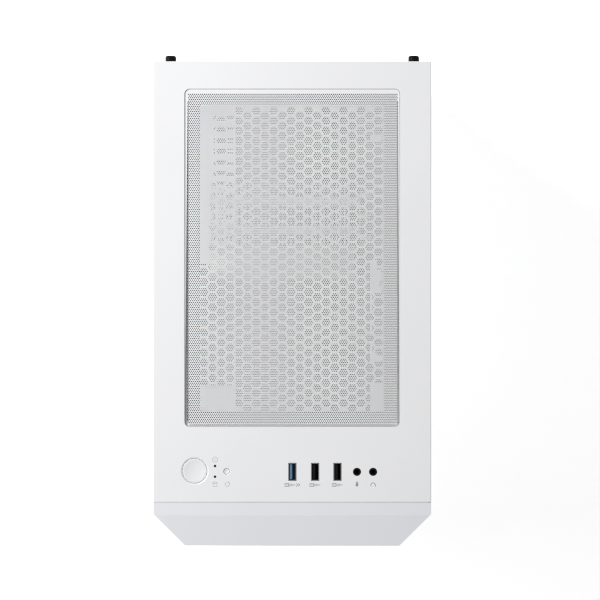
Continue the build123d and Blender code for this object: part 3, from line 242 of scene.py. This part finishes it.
grain_group.links.new(
    spread(grain_group, maths(grain_group, "ADD", maths(grain_group, "MULTIPLY", cloud, 0.5),
                              maths(grain_group, "MULTIPLY", grain, 0.5)), smoother, rougher),
    leave.inputs["Roughness"],
)
grain_group.links.new(grain, leave.inputs["Height"])


def grained(name, colour, roughness, grain_scale=1400.0, bump=0.00002, shade_spread=0.02,
            roughness_spread=0.06, cloud_scale=14.0, **fixed):
    """Material with the fine grain, and plain values on the shader's other sockets."""
    material = bpy.data.materials.new(name)
    material.use_nodes = True
    tree = material.node_tree
    shader = tree.nodes["Principled BSDF"]
    effect = tree.nodes.new("ShaderNodeGroup")
    effect.node_tree = grain_group
    effect.inputs["Colour"].default_value = (*colour, 1.0)
    effect.inputs["Shade Spread"].default_value = shade_spread
    effect.inputs["Cloud Scale"].default_value = cloud_scale
    effect.inputs["Grain Scale"].default_value = grain_scale
    effect.inputs["Roughness"].default_value = roughness
    effect.inputs["Roughness Spread"].default_value = roughness_spread
    bump_node = tree.nodes.new("ShaderNodeBump")
    bump_node.inputs["Distance"].default_value = bump
    tree.links.new(effect.outputs["Colour"], shader.inputs["Base Color"])
    tree.links.new(effect.outputs["Roughness"], shader.inputs["Roughness"])
    tree.links.new(effect.outputs["Height"], bump_node.inputs["Height"])
    tree.links.new(bump_node.outputs["Normal"], shader.inputs["Normal"])
    for socket, value in fixed.items():
        shader.inputs[socket.replace("_", " ")].default_value = value
    return material


def finish_node(material, *names):
    """Gives CAD nodes their material."""
    for name in names:
        mesh = nodes[name].data
        mesh.materials.clear()
        mesh.materials.append(material)


powder_coat = grained("powder_coat", COAT_WHITE, 0.42)
finish_node(
    powder_coat,
    "base_pan",
    "rear_panel",
    "front_bulkhead",
    "motherboard_tray",
    "psu_shroud",
    "drive_cage",
    "slot_covers",
)


# --- Feet -------------------------------------------------------------------
# Four moulded white blocks screwed under the base pan, each with a soft black
# rubber pad pressed into its underside.
moulded_white = grained("moulded_white", (0.760, 0.765, 0.785), 0.50, 900.0, 0.00003)
rubber = grained("black_rubber", (0.022, 0.022, 0.023), 0.75, 700.0, 0.00005, 0.15)
finish_node(moulded_white, "feet")
finish_node(rubber, "foot_pads", "cable_grommets")


# --- Power supply -------------------------------------------------------------
# A black coated steel box that lies on the base pan, with a honeycomb rear
# face, an intake fan below, a mains inlet and a rocker switch.
psu_coat = grained("psu_coat", (0.030, 0.030, 0.033), 0.48, 1800.0, 0.00003, 0.10)
moulded_black = grained("moulded_black", (0.020, 0.020, 0.022), 0.42, 1100.0, 0.00003, 0.12)
finish_node(psu_coat, "psu_case")
finish_node(moulded_black, "psu_fan_rotor", "psu_inlet", "psu_switch")


# --- Filter under the power supply --------------------------------------------
# A black moulded tray that slides out to the rear, its middle covered with a
# fine woven nylon mesh.
woven_group, entry, leave = node_group(
    "woven_net",
    [
        ("Thread", "NodeSocketColor", (0.03, 0.03, 0.03, 1.0)),
        ("Gap", "NodeSocketColor", (0.004, 0.004, 0.004, 1.0)),
        ("Turns", "NodeSocketFloat", 7000.0),
    ],
    [
        ("Colour", "NodeSocketColor"),
        ("Roughness", "NodeSocketFloat"),
        ("Height", "NodeSocketFloat"),
    ],
)
place = woven_group.nodes.new("ShaderNodeTexCoord")
axes = woven_group.nodes.new("ShaderNodeSeparateXYZ")
woven_group.links.new(place.outputs["Object"], axes.inputs["Vector"])
waves = []
for axis in "XY":
    turned = maths(woven_group, "MULTIPLY", axes.outputs[axis], entry.outputs["Turns"])
    waves.append(maths(woven_group, "ABSOLUTE", maths(woven_group, "SINE", turned, 0.0), 0.0))
thread = maths(woven_group, "MAXIMUM", waves[0], waves[1])
thread_mix = woven_group.nodes.new("ShaderNodeMix")
thread_mix.data_type = "RGBA"
woven_group.links.new(thread, thread_mix.inputs[0])
woven_group.links.new(entry.outputs["Gap"], thread_mix.inputs[6])
woven_group.links.new(entry.outputs["Thread"], thread_mix.inputs[7])
woven_group.links.new(thread_mix.outputs[2], leave.inputs["Colour"])
woven_group.links.new(spread(woven_group, thread, 0.8, 0.5), leave.inputs["Roughness"])
woven_group.links.new(thread, leave.inputs["Height"])


def from_group(name, group, bump, values, **fixed):
    """Material driven by a group that puts out colour, roughness and height."""
    material = bpy.data.materials.new(name)
    material.use_nodes = True
    tree = material.node_tree
    shader = tree.nodes["Principled BSDF"]
    effect = tree.nodes.new("ShaderNodeGroup")
    effect.node_tree = group
    for socket, value in values.items():
        effect.inputs[socket].default_value = value
    bump_node = tree.nodes.new("ShaderNodeBump")
    bump_node.inputs["Distance"].default_value = bump
    tree.links.new(effect.outputs["Colour"], shader.inputs["Base Color"])
    tree.links.new(effect.outputs["Roughness"], shader.inputs["Roughness"])
    tree.links.new(effect.outputs["Height"], bump_node.inputs["Height"])
    tree.links.new(bump_node.outputs["Normal"], shader.inputs["Normal"])
    for socket, value in fixed.items():
        shader.inputs[socket.replace("_", " ")].default_value = value
    return material


nylon_net = from_group("nylon_net", woven_group, 0.0002, {"Turns": 4200.0})
finish_node(nylon_net, "psu_filter")


# --- Motherboard --------------------------------------------------------------
# A black circuit board on brass standoffs, with printed tracks under the solder
# mask, moulded sockets, anodised coolers and tinned connectors at its rear edge.
board_group, entry, leave = node_group(
    "circuit_board",
    [
        ("Mask", "NodeSocketColor", (0.012, 0.013, 0.015, 1.0)),
        ("Track", "NodeSocketColor", (0.035, 0.037, 0.042, 1.0)),
        ("Pad", "NodeSocketColor", (0.45, 0.40, 0.28, 1.0)),
        ("Block Scale", "NodeSocketFloat", 55.0),
        ("Pad Scale", "NodeSocketFloat", 260.0),
    ],
    [
        ("Colour", "NodeSocketColor"),
        ("Roughness", "NodeSocketFloat"),
        ("Height", "NodeSocketFloat"),
    ],
)
RINGS_PER_BLOCK = 11.0
TRACK_SHARE = 0.34
PAD_REACH = 0.13
place = board_group.nodes.new("ShaderNodeTexCoord")
blocks = board_group.nodes.new("ShaderNodeTexVoronoi")
blocks.distance = "MANHATTAN"
board_group.links.new(place.outputs["Object"], blocks.inputs["Vector"])
board_group.links.new(entry.outputs["Block Scale"], blocks.inputs["Scale"])
rings = maths(board_group, "MULTIPLY", blocks.outputs["Distance"], RINGS_PER_BLOCK)
track = maths(board_group, "LESS_THAN", maths(board_group, "FRACT", rings, 0.0), TRACK_SHARE)
pads = board_group.nodes.new("ShaderNodeTexVoronoi")
board_group.links.new(place.outputs["Object"], pads.inputs["Vector"])
board_group.links.new(entry.outputs["Pad Scale"], pads.inputs["Scale"])
pad = maths(board_group, "LESS_THAN", pads.outputs["Distance"], PAD_REACH)
track_mix = board_group.nodes.new("ShaderNodeMix")
track_mix.data_type = "RGBA"
board_group.links.new(track, track_mix.inputs[0])
board_group.links.new(entry.outputs["Mask"], track_mix.inputs[6])
board_group.links.new(entry.outputs["Track"], track_mix.inputs[7])
pad_mix = board_group.nodes.new("ShaderNodeMix")
pad_mix.data_type = "RGBA"
board_group.links.new(pad, pad_mix.inputs[0])
board_group.links.new(track_mix.outputs[2], pad_mix.inputs[6])
board_group.links.new(entry.outputs["Pad"], pad_mix.inputs[7])
board_group.links.new(pad_mix.outputs[2], leave.inputs["Colour"])
board_group.links.new(spread(board_group, track, 0.38, 0.30), leave.inputs["Roughness"])
board_group.links.new(maths(board_group, "MAXIMUM", track, pad), leave.inputs["Height"])

black_board = from_group("black_board", board_group, 0.00004, {"Block Scale": 55.0})
black_board.node_tree.nodes["Principled BSDF"].inputs["Coat Weight"].default_value = 0.3

brushed_group, entry, leave = node_group(
    "brush_lines",
    [
        ("Colour", "NodeSocketColor", (0.6, 0.6, 0.6, 1.0)),
        ("Stretch", "NodeSocketVector", (1.0, 1.0, 1.0)),
        ("Scale", "NodeSocketFloat", 1200.0),
        ("Roughness", "NodeSocketFloat", 0.3),
    ],
    [
        ("Colour", "NodeSocketColor"),
        ("Roughness", "NodeSocketFloat"),
        ("Height", "NodeSocketFloat"),
    ],
)
place = brushed_group.nodes.new("ShaderNodeTexCoord")
pulled = brushed_group.nodes.new("ShaderNodeVectorMath")
pulled.operation = "MULTIPLY"
brushed_group.links.new(place.outputs["Object"], pulled.inputs[0])
brushed_group.links.new(entry.outputs["Stretch"], pulled.inputs[1])
lines = brushed_group.nodes.new("ShaderNodeTexNoise")
lines.inputs["Detail"].default_value = 3.0
brushed_group.links.new(pulled.outputs["Vector"], lines.inputs["Vector"])
brushed_group.links.new(entry.outputs["Scale"], lines.inputs["Scale"])
brushed_group.links.new(
    shade(brushed_group, entry.outputs["Colour"],
          spread(brushed_group, lines.outputs["Fac"], 0.86, 1.12)),
    leave.inputs["Colour"],
)
brushed_group.links.new(
    spread(brushed_group, lines.outputs["Fac"],
           maths(brushed_group, "SUBTRACT", entry.outputs["Roughness"], 0.08),
           maths(brushed_group, "ADD", entry.outputs["Roughness"], 0.10)),
    leave.inputs["Roughness"],
)
brushed_group.links.new(lines.outputs["Fac"], leave.inputs["Height"])


def brushed(name, colour, roughness, stretch, scale=1200.0, bump=0.00001):
    """Metal with fine lines along one axis."""
    values = {
        "Colour": (*colour, 1.0),
        "Stretch": stretch,
        "Scale": scale,
        "Roughness": roughness,
    }
    return from_group(name, brushed_group, bump, values, Metallic=1.0)


tin_plate = brushed("tin_plate", (0.62, 0.62, 0.64), 0.28, (1.0, 1.0, 0.06))
anodised = brushed("anodised", (0.090, 0.095, 0.105), 0.38, (1.0, 0.05, 1.0))
bright_fins = brushed("bright_fins", (0.78, 0.78, 0.80), 0.26, (1.0, 1.0, 0.04))
turned_brass = brushed("turned_brass", (0.72, 0.50, 0.19), 0.30, (1.0, 1.0, 1.0), 2500.0)
finish_node(black_board, "motherboard")
finish_node(turned_brass, "board_standoffs")
finish_node(moulded_black, "board_slots")
finish_node(anodised, "board_heatsinks", "memory_modules", "solid_state_drive")
finish_node(tin_plate, "rear_sockets", "socket_shield")


# --- Processor cooler -----------------------------------------------------------
# Bright aluminium fins pressed on heat pipes, with a fan clipped in front: a white
# rotor in a grey frame.
moulded_fan = grained("moulded_fan", (0.700, 0.705, 0.720), 0.38, 800.0, 0.00002)
finish_node(bright_fins, "cooler_heatsink")
moulded_grey = grained("moulded_grey", (0.330, 0.335, 0.345), 0.50, 800.0, 0.00002)
finish_node(moulded_grey, "cooler_fan_frame")
finish_node(moulded_fan, "cooler_fan_rotor")


# --- Graphics card --------------------------------------------------------------
# A black board across the tower with a white moulded shroud and two fans.
bracket_group, entry, leave = node_group(
    "bracket_end",
    [("Start", "NodeSocketFloat", 0.1745)],
    [("Mask", "NodeSocketFloat")],
)
place = bracket_group.nodes.new("ShaderNodeTexCoord")
axes = bracket_group.nodes.new("ShaderNodeSeparateXYZ")
bracket_group.links.new(place.outputs["Object"], axes.inputs["Vector"])
bracket_group.links.new(
    maths(bracket_group, "GREATER_THAN", axes.outputs["Y"], entry.outputs["Start"]),
    leave.inputs["Mask"],
)
card_finish = from_group("card_board", board_group, 0.00004, {"Block Scale": 70.0})
card_tree = card_finish.node_tree
card_shader = card_tree.nodes["Principled BSDF"]
bracket = card_tree.nodes.new("ShaderNodeGroup")
bracket.node_tree = bracket_group
plating = card_tree.nodes.new("ShaderNodeGroup")
plating.node_tree = brushed_group
plating.inputs["Colour"].default_value = (0.60, 0.60, 0.62, 1.0)
plating.inputs["Stretch"].default_value = (0.05, 1.0, 1.0)
card_mix = card_tree.nodes.new("ShaderNodeMix")
card_mix.data_type = "RGBA"
card_tree.links.new(bracket.outputs["Mask"], card_mix.inputs[0])
card_tree.links.new(card_shader.inputs["Base Color"].links[0].from_socket, card_mix.inputs[6])
card_tree.links.new(plating.outputs["Colour"], card_mix.inputs[7])
card_tree.links.new(card_mix.outputs[2], card_shader.inputs["Base Color"])
card_tree.links.new(bracket.outputs["Mask"], card_shader.inputs["Metallic"])
finish_node(card_finish, "graphics_card")
finish_node(moulded_white, "graphics_shroud")
finish_node(moulded_fan, "graphics_fan_rotor_front", "graphics_fan_rotor_rear")


# --- Drives ---------------------------------------------------------------------
# The hard drive is a cast aluminium box in the lower cage; the solid state drive
# is an anodised case screwed onto the shroud.
cast_metal = grained("cast_metal", (0.42, 0.42, 0.44), 0.46, 500.0, 0.00008, 0.08,
                     Metallic=1.0)
finish_node(cast_metal, "hard_drive")


# --- Chassis fans ---------------------------------------------------------------
# Three white 120 mm fans behind the bulkhead and one at the rear, glossy mouldings
# with nine blades each.
finish_node(
    moulded_fan,
    "front_fan_frames",
    "front_fan_rotor_lower",
    "front_fan_rotor_middle",
    "front_fan_rotor_upper",
    "rear_fan_frame",
    "rear_fan_rotor",
)


# --- Control board and its sockets -----------------------------------------------
# A green board hung under the lid's front strip. It carries the switches, the
# sockets in tinned shells and the two light pipes.
green_board = from_group(
    "green_board",
    board_group,
    0.00004,
    {
        "Mask": (0.010, 0.045, 0.022, 1.0),
        "Track": (0.018, 0.075, 0.036, 1.0),
        "Block Scale": 90.0,
    },
)
tongue_blue = grained("tongue_blue", (0.130, 0.225, 0.340), 0.34, 1500.0, 0.00002, 0.06)
# The tongue's right side, beyond the edge at X = -0.35 mm, is painted a darker blue: painted
# shade on the side turned away from the key lamp.
PAINTED_SHADE_EDGE = -0.00035
painted_shade_group, entry, leave = node_group(
    "painted_shade_side",
    [
        ("Colour", "NodeSocketColor", (0.1, 0.2, 0.3, 1.0)),
        ("Painted Shade Colour", "NodeSocketColor", (0.012, 0.045, 0.105, 1.0)),
        ("Edge", "NodeSocketFloat", PAINTED_SHADE_EDGE),
    ],
    [("Colour", "NodeSocketColor")],
)
place = painted_shade_group.nodes.new("ShaderNodeTexCoord")
axes = painted_shade_group.nodes.new("ShaderNodeSeparateXYZ")
painted_shade_group.links.new(place.outputs["Object"], axes.inputs["Vector"])
painted_shade_mix = painted_shade_group.nodes.new("ShaderNodeMix")
painted_shade_mix.data_type = "RGBA"
painted_shade_group.links.new(
    maths(painted_shade_group, "GREATER_THAN", axes.outputs["X"], entry.outputs["Edge"]),
    painted_shade_mix.inputs[0],
)
painted_shade_group.links.new(entry.outputs["Colour"], painted_shade_mix.inputs[6])
painted_shade_group.links.new(entry.outputs["Painted Shade Colour"], painted_shade_mix.inputs[7])
painted_shade_group.links.new(painted_shade_mix.outputs[2], leave.inputs["Colour"])
tongue_tree = tongue_blue.node_tree
tongue_shader = tongue_tree.nodes["Principled BSDF"]
painted_shade_node = tongue_tree.nodes.new("ShaderNodeGroup")
painted_shade_node.node_tree = painted_shade_group
tongue_tree.links.new(
    tongue_shader.inputs["Base Color"].links[0].from_socket, painted_shade_node.inputs["Colour"]
)
tongue_tree.links.new(painted_shade_node.outputs["Colour"], tongue_shader.inputs["Base Color"])
socket_black = grained("socket_black", (0.0035, 0.0035, 0.0035), 0.60, 1300.0, 0.00002, 0.20,
                       Specular_IOR_Level=0.15)
finish_node(green_board, "control_board")
finish_node(moulded_black, "tact_switches")
finish_node(socket_black, "usb2_insulators", "audio_jacks")
finish_node(tin_plate, "usb3_shell", "usb2_shells")
finish_node(tongue_blue, "usb3_insulator")
smoked_lens = grained("smoked_lens", (0.006, 0.006, 0.006), 0.25, 1500.0, 0.00001, 0.10,
                      Coat_Weight=0.4)
finish_node(smoked_lens, "led_lenses")


# --- Top panel --------------------------------------------------------------------
# One folded sheet with a pressed recess and a honeycomb vent, white powder coat.
# The pictograms beside the controls are pad printed in light grey.
finish_node(powder_coat, "top_panel")
PRINT_THICK = 0.00002
PRINT_LOW = top_z - 0.00010
PRINT_HIGH = top_z + PRINT_THICK
print_grey = grained("print_grey", (0.13, 0.13, 0.14), 0.55, 2600.0, 0.000005, 0.10)
print_pale = grained("print_pale", (0.34, 0.34, 0.36), 0.55, 2600.0, 0.000005, 0.10)
MM = 0.001
FINE_STROKE = 0.28
BOLD_STROKE = 0.42


def stroke_outline(points, width, closed):
    """Both sides of a line of even width through the points, in the lid's plane."""
    count = len(points)
    left, right = [], []
    for i, (x, y) in enumerate(points):
        before = points[i - 1] if closed or i else points[i]
        after = points[(i + 1) % count] if closed or i < count - 1 else points[i]
        along = Vector((after[0] - before[0], after[1] - before[1])).normalized()
        side = Vector((-along.y, along.x)) * width / 2
        left.append((x + side.x, y + side.y))
        right.append((x - side.x, y - side.y))
    return left, right


def print_strokes(name, at, strokes, material, stroke, closed_ends=()):
    """One printed mark: thin flat strokes just proud of the lid, in millimetres from at."""
    mesh = bmesh.new()
    for number, points in enumerate(strokes):
        closed = number in closed_ends
        left, right = stroke_outline(points, stroke, closed)
        rows = []
        for (ax, ay), (bx, by) in zip(left, right):
            rows.append([
                mesh.verts.new(((at[0] + x) * MM, (at[1] + y) * MM, z))
                for x, y in ((ax, ay), (bx, by))
                for z in (PRINT_LOW, PRINT_HIGH)
            ])
        count = len(rows)
        steps = range(count) if closed else range(count - 1)
        for i in steps:
            a, b = rows[i], rows[(i + 1) % count]
            mesh.faces.new((a[1], a[3], b[3], b[1]))
            mesh.faces.new((a[0], b[0], b[2], a[2]))
            mesh.faces.new((a[0], a[1], b[1], b[0]))
            mesh.faces.new((a[2], b[2], b[3], a[3]))
        if not closed:
            for row in (rows[0], rows[-1]):
                mesh.faces.new((row[0], row[2], row[3], row[1]))
    bmesh.ops.recalc_face_normals(mesh, faces=mesh.faces)
    data = bpy.data.meshes.new(name)
    mesh.to_mesh(data)
    mesh.free()
    data.materials.append(material)
    piece = bpy.data.objects.new(name, data)
    bpy.context.scene.collection.objects.link(piece)
    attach(piece, "chassis")
    return piece


def arc(radius, start, end, steps=24, centre=(0.0, 0.0)):
    """Points of an arc, with its angles in degrees."""
    turns = [math.radians(start + (end - start) * i / steps) for i in range(steps + 1)]
    return [(centre[0] + radius * math.cos(t), centre[1] + radius * math.sin(t)) for t in turns]


def ring(radius, steps=28, centre=(0.0, 0.0)):
    """Points of a full circle."""
    return arc(radius, 0.0, 360.0 - 360.0 / steps, steps - 1, centre)


def oval(half_x, half_y, start=0.0, end=360.0, steps=20, centre=(0.0, 0.0)):
    """Points of an ellipse or of a part of one."""
    return [(centre[0] + half_x * x, centre[1] + half_y * y)
            for x, y in arc(1.0, start, end, steps)]


print_strokes("print_power", (-58.3, -120.5), [ring(1.9), [(0.0, -0.8), (0.0, 0.8)]],
              print_pale, FINE_STROKE, (0,))
drive_mark = [
    oval(1.5, 0.55, 0.0, 342.0, 19, (0.0, 1.2)),
    [(-1.5, 1.2), (-1.5, -1.2), *oval(1.5, 0.55, 180.0, 360.0, 12, (0.0, -1.2)), (1.5, 1.2)],
]
print_strokes("print_drive", (-58.3, -139.2), drive_mark, print_pale, FINE_STROKE, (0,))
reset_mark = [arc(1.6, 120.0, 420.0), [(0.1, 2.2), (0.85, 1.40), (0.3, 0.5)]]
print_strokes("print_restart", (-48.9, -139.1), reset_mark, print_pale, FINE_STROKE)
plug_mark = [
    [(-4.0, -1.1), (-1.2, -1.1), (-1.2, 1.1), (-4.0, 1.1)],
    [(-1.2, -0.65), (1.4, -0.65), (1.4, 0.65), (-1.2, 0.65)],
    [(1.4, 0.0), (4.0, 0.0)],
    [(-3.4, 0.0), (-1.9, 0.0)],
]
swift_mark = [[(x, 1.1), (x + 1.2, 0.0), (x, -1.1)] for x in (4.6, 6.2)]
both_marks = [[(x - 1.7, y) for x, y in line] for line in [*plug_mark, *swift_mark]]
print_strokes("print_plug_0", (0.15, -139.7), both_marks, print_grey, BOLD_STROKE, (0, 1))
for number, x in ((1, 17.3), (2, 34.2)):
    print_strokes(f"print_plug_{number}", (x, -139.7), plug_mark, print_grey, BOLD_STROKE,
                  (0, 1))
microphone_mark = [
    [*arc(0.45, 0.0, 180.0, 10, (0.0, 1.0)), *arc(0.45, 180.0, 360.0, 10, (0.0, -0.2))],
    arc(1.15, 200.0, 340.0, 14, (0.0, -0.1)),
    [(0.0, -1.3), (0.0, -2.3)],
]
print_dark = grained("print_dark", (0.055, 0.055, 0.060), 0.55, 2600.0, 0.000005, 0.10)
print_strokes("print_microphone", (48.95, -138.9), microphone_mark, print_dark, BOLD_STROKE,
              (0,))
headphone_mark = [
    arc(1.6, 0.0, 180.0, 18, (0.0, -0.2)),
    [(-1.7, 0.0), (-1.7, -1.3)],
    [(1.7, 0.0), (1.7, -1.3)],
]
print_strokes("print_headphones", (61.1, -139.5), headphone_mark, print_grey, BOLD_STROKE)


# --- Buttons --------------------------------------------------------------------
# White moulded caps with a softly dished face, sprung on the switches below.
satin_cap = grained("satin_cap", (0.775, 0.780, 0.795), 0.36, 1600.0, 0.00001, 0.015)
finish_node(satin_cap, "power_button", "reset_button")


# --- Top filter ------------------------------------------------------------------
# A thin white sheet punched with a dense staggered pattern of 1 mm holes, stuck
# on a frame of dark flexible magnet that holds it in the recess.
magnet_black = grained("magnet_black", (0.012, 0.012, 0.013), 0.70, 900.0, 0.00004, 0.20)
filter_white = grained("filter_white", (0.800, 0.803, 0.815), 0.42, 1500.0, 0.00001, 0.012)
finish_node(magnet_black, "top_filter_magnet")


def rounded_loop(half_u, half_v, corner, steps=6):
    """Outline of a rounded rectangle round the origin, anticlockwise."""
    loop = []
    for quarter, (su, sv) in enumerate(((1, 1), (-1, 1), (-1, -1), (1, -1))):
        centre = (su * (half_u - corner), sv * (half_v - corner))
        loop += arc(corner, 90.0 * quarter, 90.0 * (quarter + 1), steps, centre)
    return loop


SNAPS_PER_MM = 200
SLIVER_AREA = 1e-9
UV_SPREAD = 2.1


def punched_sheet(name, half, corner, pitch, hole, first, counts, place, thick, material):
    """Thin sheet with six sided holes in staggered rows. Sizes are in millimetres; first is
    the lowest hole, counts its holes and rows, and place turns (u, v, w) into the frame."""
    reach = pitch / math.sqrt(3)
    row_step = pitch * math.sqrt(3) / 2
    turns = [math.radians(30 + 60 * k) for k in range(6)]
    cell = [(reach * math.cos(t), reach * math.sin(t)) for t in turns]
    rim = [(hole * math.cos(t), hole * math.sin(t)) for t in turns]
    flat, known, webs, rims = [], {}, [], []

    def corner_at(u, v):
        key = (round(u * SNAPS_PER_MM), round(v * SNAPS_PER_MM))
        if key not in known:
            known[key] = len(flat)
            flat.append((u, v))
        return known[key]

    edges = {}
    for row in range(counts[1]):
        shift = pitch / 2 if row % 2 else 0.0
        for column in range(counts[0] - row % 2):
            u, v = first[0] + shift + column * pitch, first[1] + row * row_step
            outer = [corner_at(u + du, v + dv) for du, dv in cell]
            inner = list(range(len(flat), len(flat) + 6))
            flat.extend((u + du, v + dv) for du, dv in rim)
            rims.append(inner)
            for k in range(6):
                n = (k + 1) % 6
                webs.append((outer[k], outer[n], inner[n], inner[k]))
                edge = (outer[k], outer[n])
                if (edge[1], edge[0]) in edges:
                    del edges[(edge[1], edge[0])]
                else:
                    edges[edge] = True
    follow = {a: b for a, b in edges}
    start = next(iter(follow))
    ragged = [start]
    while follow[ragged[-1]] != start:
        ragged.append(follow[ragged[-1]])
    border = rounded_loop(*half, corner)
    border_at = list(range(len(flat), len(flat) + len(border)))
    flat.extend(border)
    both = [*border_at, *ragged]
    loops = [[Vector((*flat[i], 0.0)) for i in part] for part in (border_at, ragged)]
    fill = []
    for a, b, c in tessellate_polygon(loops):
        a, b, c = both[a], both[b], both[c]
        (ax, ay), (bx, by), (cx, cy) = flat[a], flat[b], flat[c]
        area = (bx - ax) * (cy - ay) - (cx - ax) * (by - ay)
        if abs(area) > SLIVER_AREA:
            fill.append((a, b, c) if area > 0 else (a, c, b))
    count = len(flat)
    upper = [*webs, *fill]
    faces = [*upper, *[tuple(i + count for i in reversed(f)) for f in upper]]
    for loop in [*rims, list(reversed(border_at))]:
        for k, a in enumerate(loop):
            b = loop[(k + 1) % len(loop)]
            faces.append((a, b, b + count, a + count))
    points = [place(u, v, 0.0) for u, v in flat] + [place(u, v, -thick) for u, v in flat]
    data = bpy.data.meshes.new(name)
    data.from_pydata(points, [], faces)
    layer = data.uv_layers.new(name="OFBake")
    for loop_number, vertex in enumerate(data.loops):
        u, v = flat[vertex.vertex_index % count]
        layer.data[loop_number].uv = (
            0.5 + u / (UV_SPREAD * half[0]), 0.5 + v / (UV_SPREAD * half[1])
        )
    data.materials.append(material)
    piece = bpy.data.objects.new(name, data)
    bpy.context.scene.collection.objects.link(piece)
    return piece


sheet_low, sheet_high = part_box("top_filter")
sheet_half = [(sheet_high[i] - sheet_low[i]) / 2 / MM for i in range(2)]
sheet_centre = [(sheet_high[i] + sheet_low[i]) / 2 / MM for i in range(2)]
SHEET_CORNER = 3.7
HOLE_PITCH = 1.5
HOLE_RADIUS = 0.51
FIRST_HOLE = (-78.3, -94.05)
HOLE_COUNTS = (106, 193)
filter_sheet = punched_sheet(
    "top_filter_sheet",
    sheet_half,
    SHEET_CORNER,
    HOLE_PITCH,
    HOLE_RADIUS,
    (FIRST_HOLE[0] - sheet_centre[0], FIRST_HOLE[1] - sheet_centre[1]),
    HOLE_COUNTS,
    lambda u, v, w: (
        (sheet_centre[0] + u) * MM, (sheet_centre[1] + v) * MM, sheet_high.z + w * MM
    ),
    (sheet_high.z - sheet_low.z) / MM,
    filter_white,
)
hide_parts("top_filter")
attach(filter_sheet, "top_filter")


# --- Front bezel ------------------------------------------------------------------
# A white moulded shell with vented cheeks, clipped into the bulkhead. A punched
# steel mesh fills its window, with a black foam filter frame behind.
bezel_white = grained("bezel_white", (0.745, 0.752, 0.785), 0.46, 1000.0, 0.00002, 0.015)
finish_node(bezel_white, "front_bezel")
finish_node(moulded_black, "front_filter")
mesh_low, mesh_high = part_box("front_mesh")
mesh_half = [(mesh_high[i] - mesh_low[i]) / 2 / MM for i in (0, 2)]
mesh_centre = [(mesh_high[i] + mesh_low[i]) / 2 / MM for i in (0, 2)]
MESH_CORNER = 2.0
MESH_PITCH = 3.4
MESH_HOLE_RADIUS = 1.25
MESH_COUNTS = (41, 143)
mesh_rise = MESH_PITCH * math.sqrt(3) / 2 * (MESH_COUNTS[1] - 1)
mesh_sheet = punched_sheet(
    "front_mesh_sheet",
    mesh_half,
    MESH_CORNER,
    MESH_PITCH,
    MESH_HOLE_RADIUS,
    (-MESH_PITCH * (MESH_COUNTS[0] - 1) / 2, -mesh_rise / 2),
    MESH_COUNTS,
    lambda u, v, w: (
        (mesh_centre[0] + u) * MM, mesh_low.y - w * MM, (mesh_centre[1] + v) * MM
    ),
    (mesh_high.y - mesh_low.y) / MM,
    powder_coat,
)
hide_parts("front_mesh")
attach(mesh_sheet, "front_bezel")


# --- Side panels -----------------------------------------------------------------
# The right cover is folded sheet steel. The left one is a sheet of lightly tinted
# toughened glass, bonded to a steel frame.
tinted_glass = grained("tinted_glass", (0.020, 0.022, 0.026), 0.03, 60.0, 0.0, 0.01, 0.01,
                       Alpha=0.36, IOR=1.5)
finish_node(powder_coat, "right_side_panel", "glass_panel_frame")
finish_node(tinted_glass, "glass_side_panel")


# --- Thumbscrews ------------------------------------------------------------------
# Black zinc coated steel screws with knurled heads, captive in the panels' ears.
black_zinc = grained("black_zinc", (0.0025, 0.0025, 0.003), 0.50, 1500.0, 0.00001, 0.15,
                     Specular_IOR_Level=0.10)
finish_node(
    black_zinc,
    "thumbscrew_left_lower",
    "thumbscrew_left_upper",
    "thumbscrew_right_lower",
    "thumbscrew_right_upper",
)
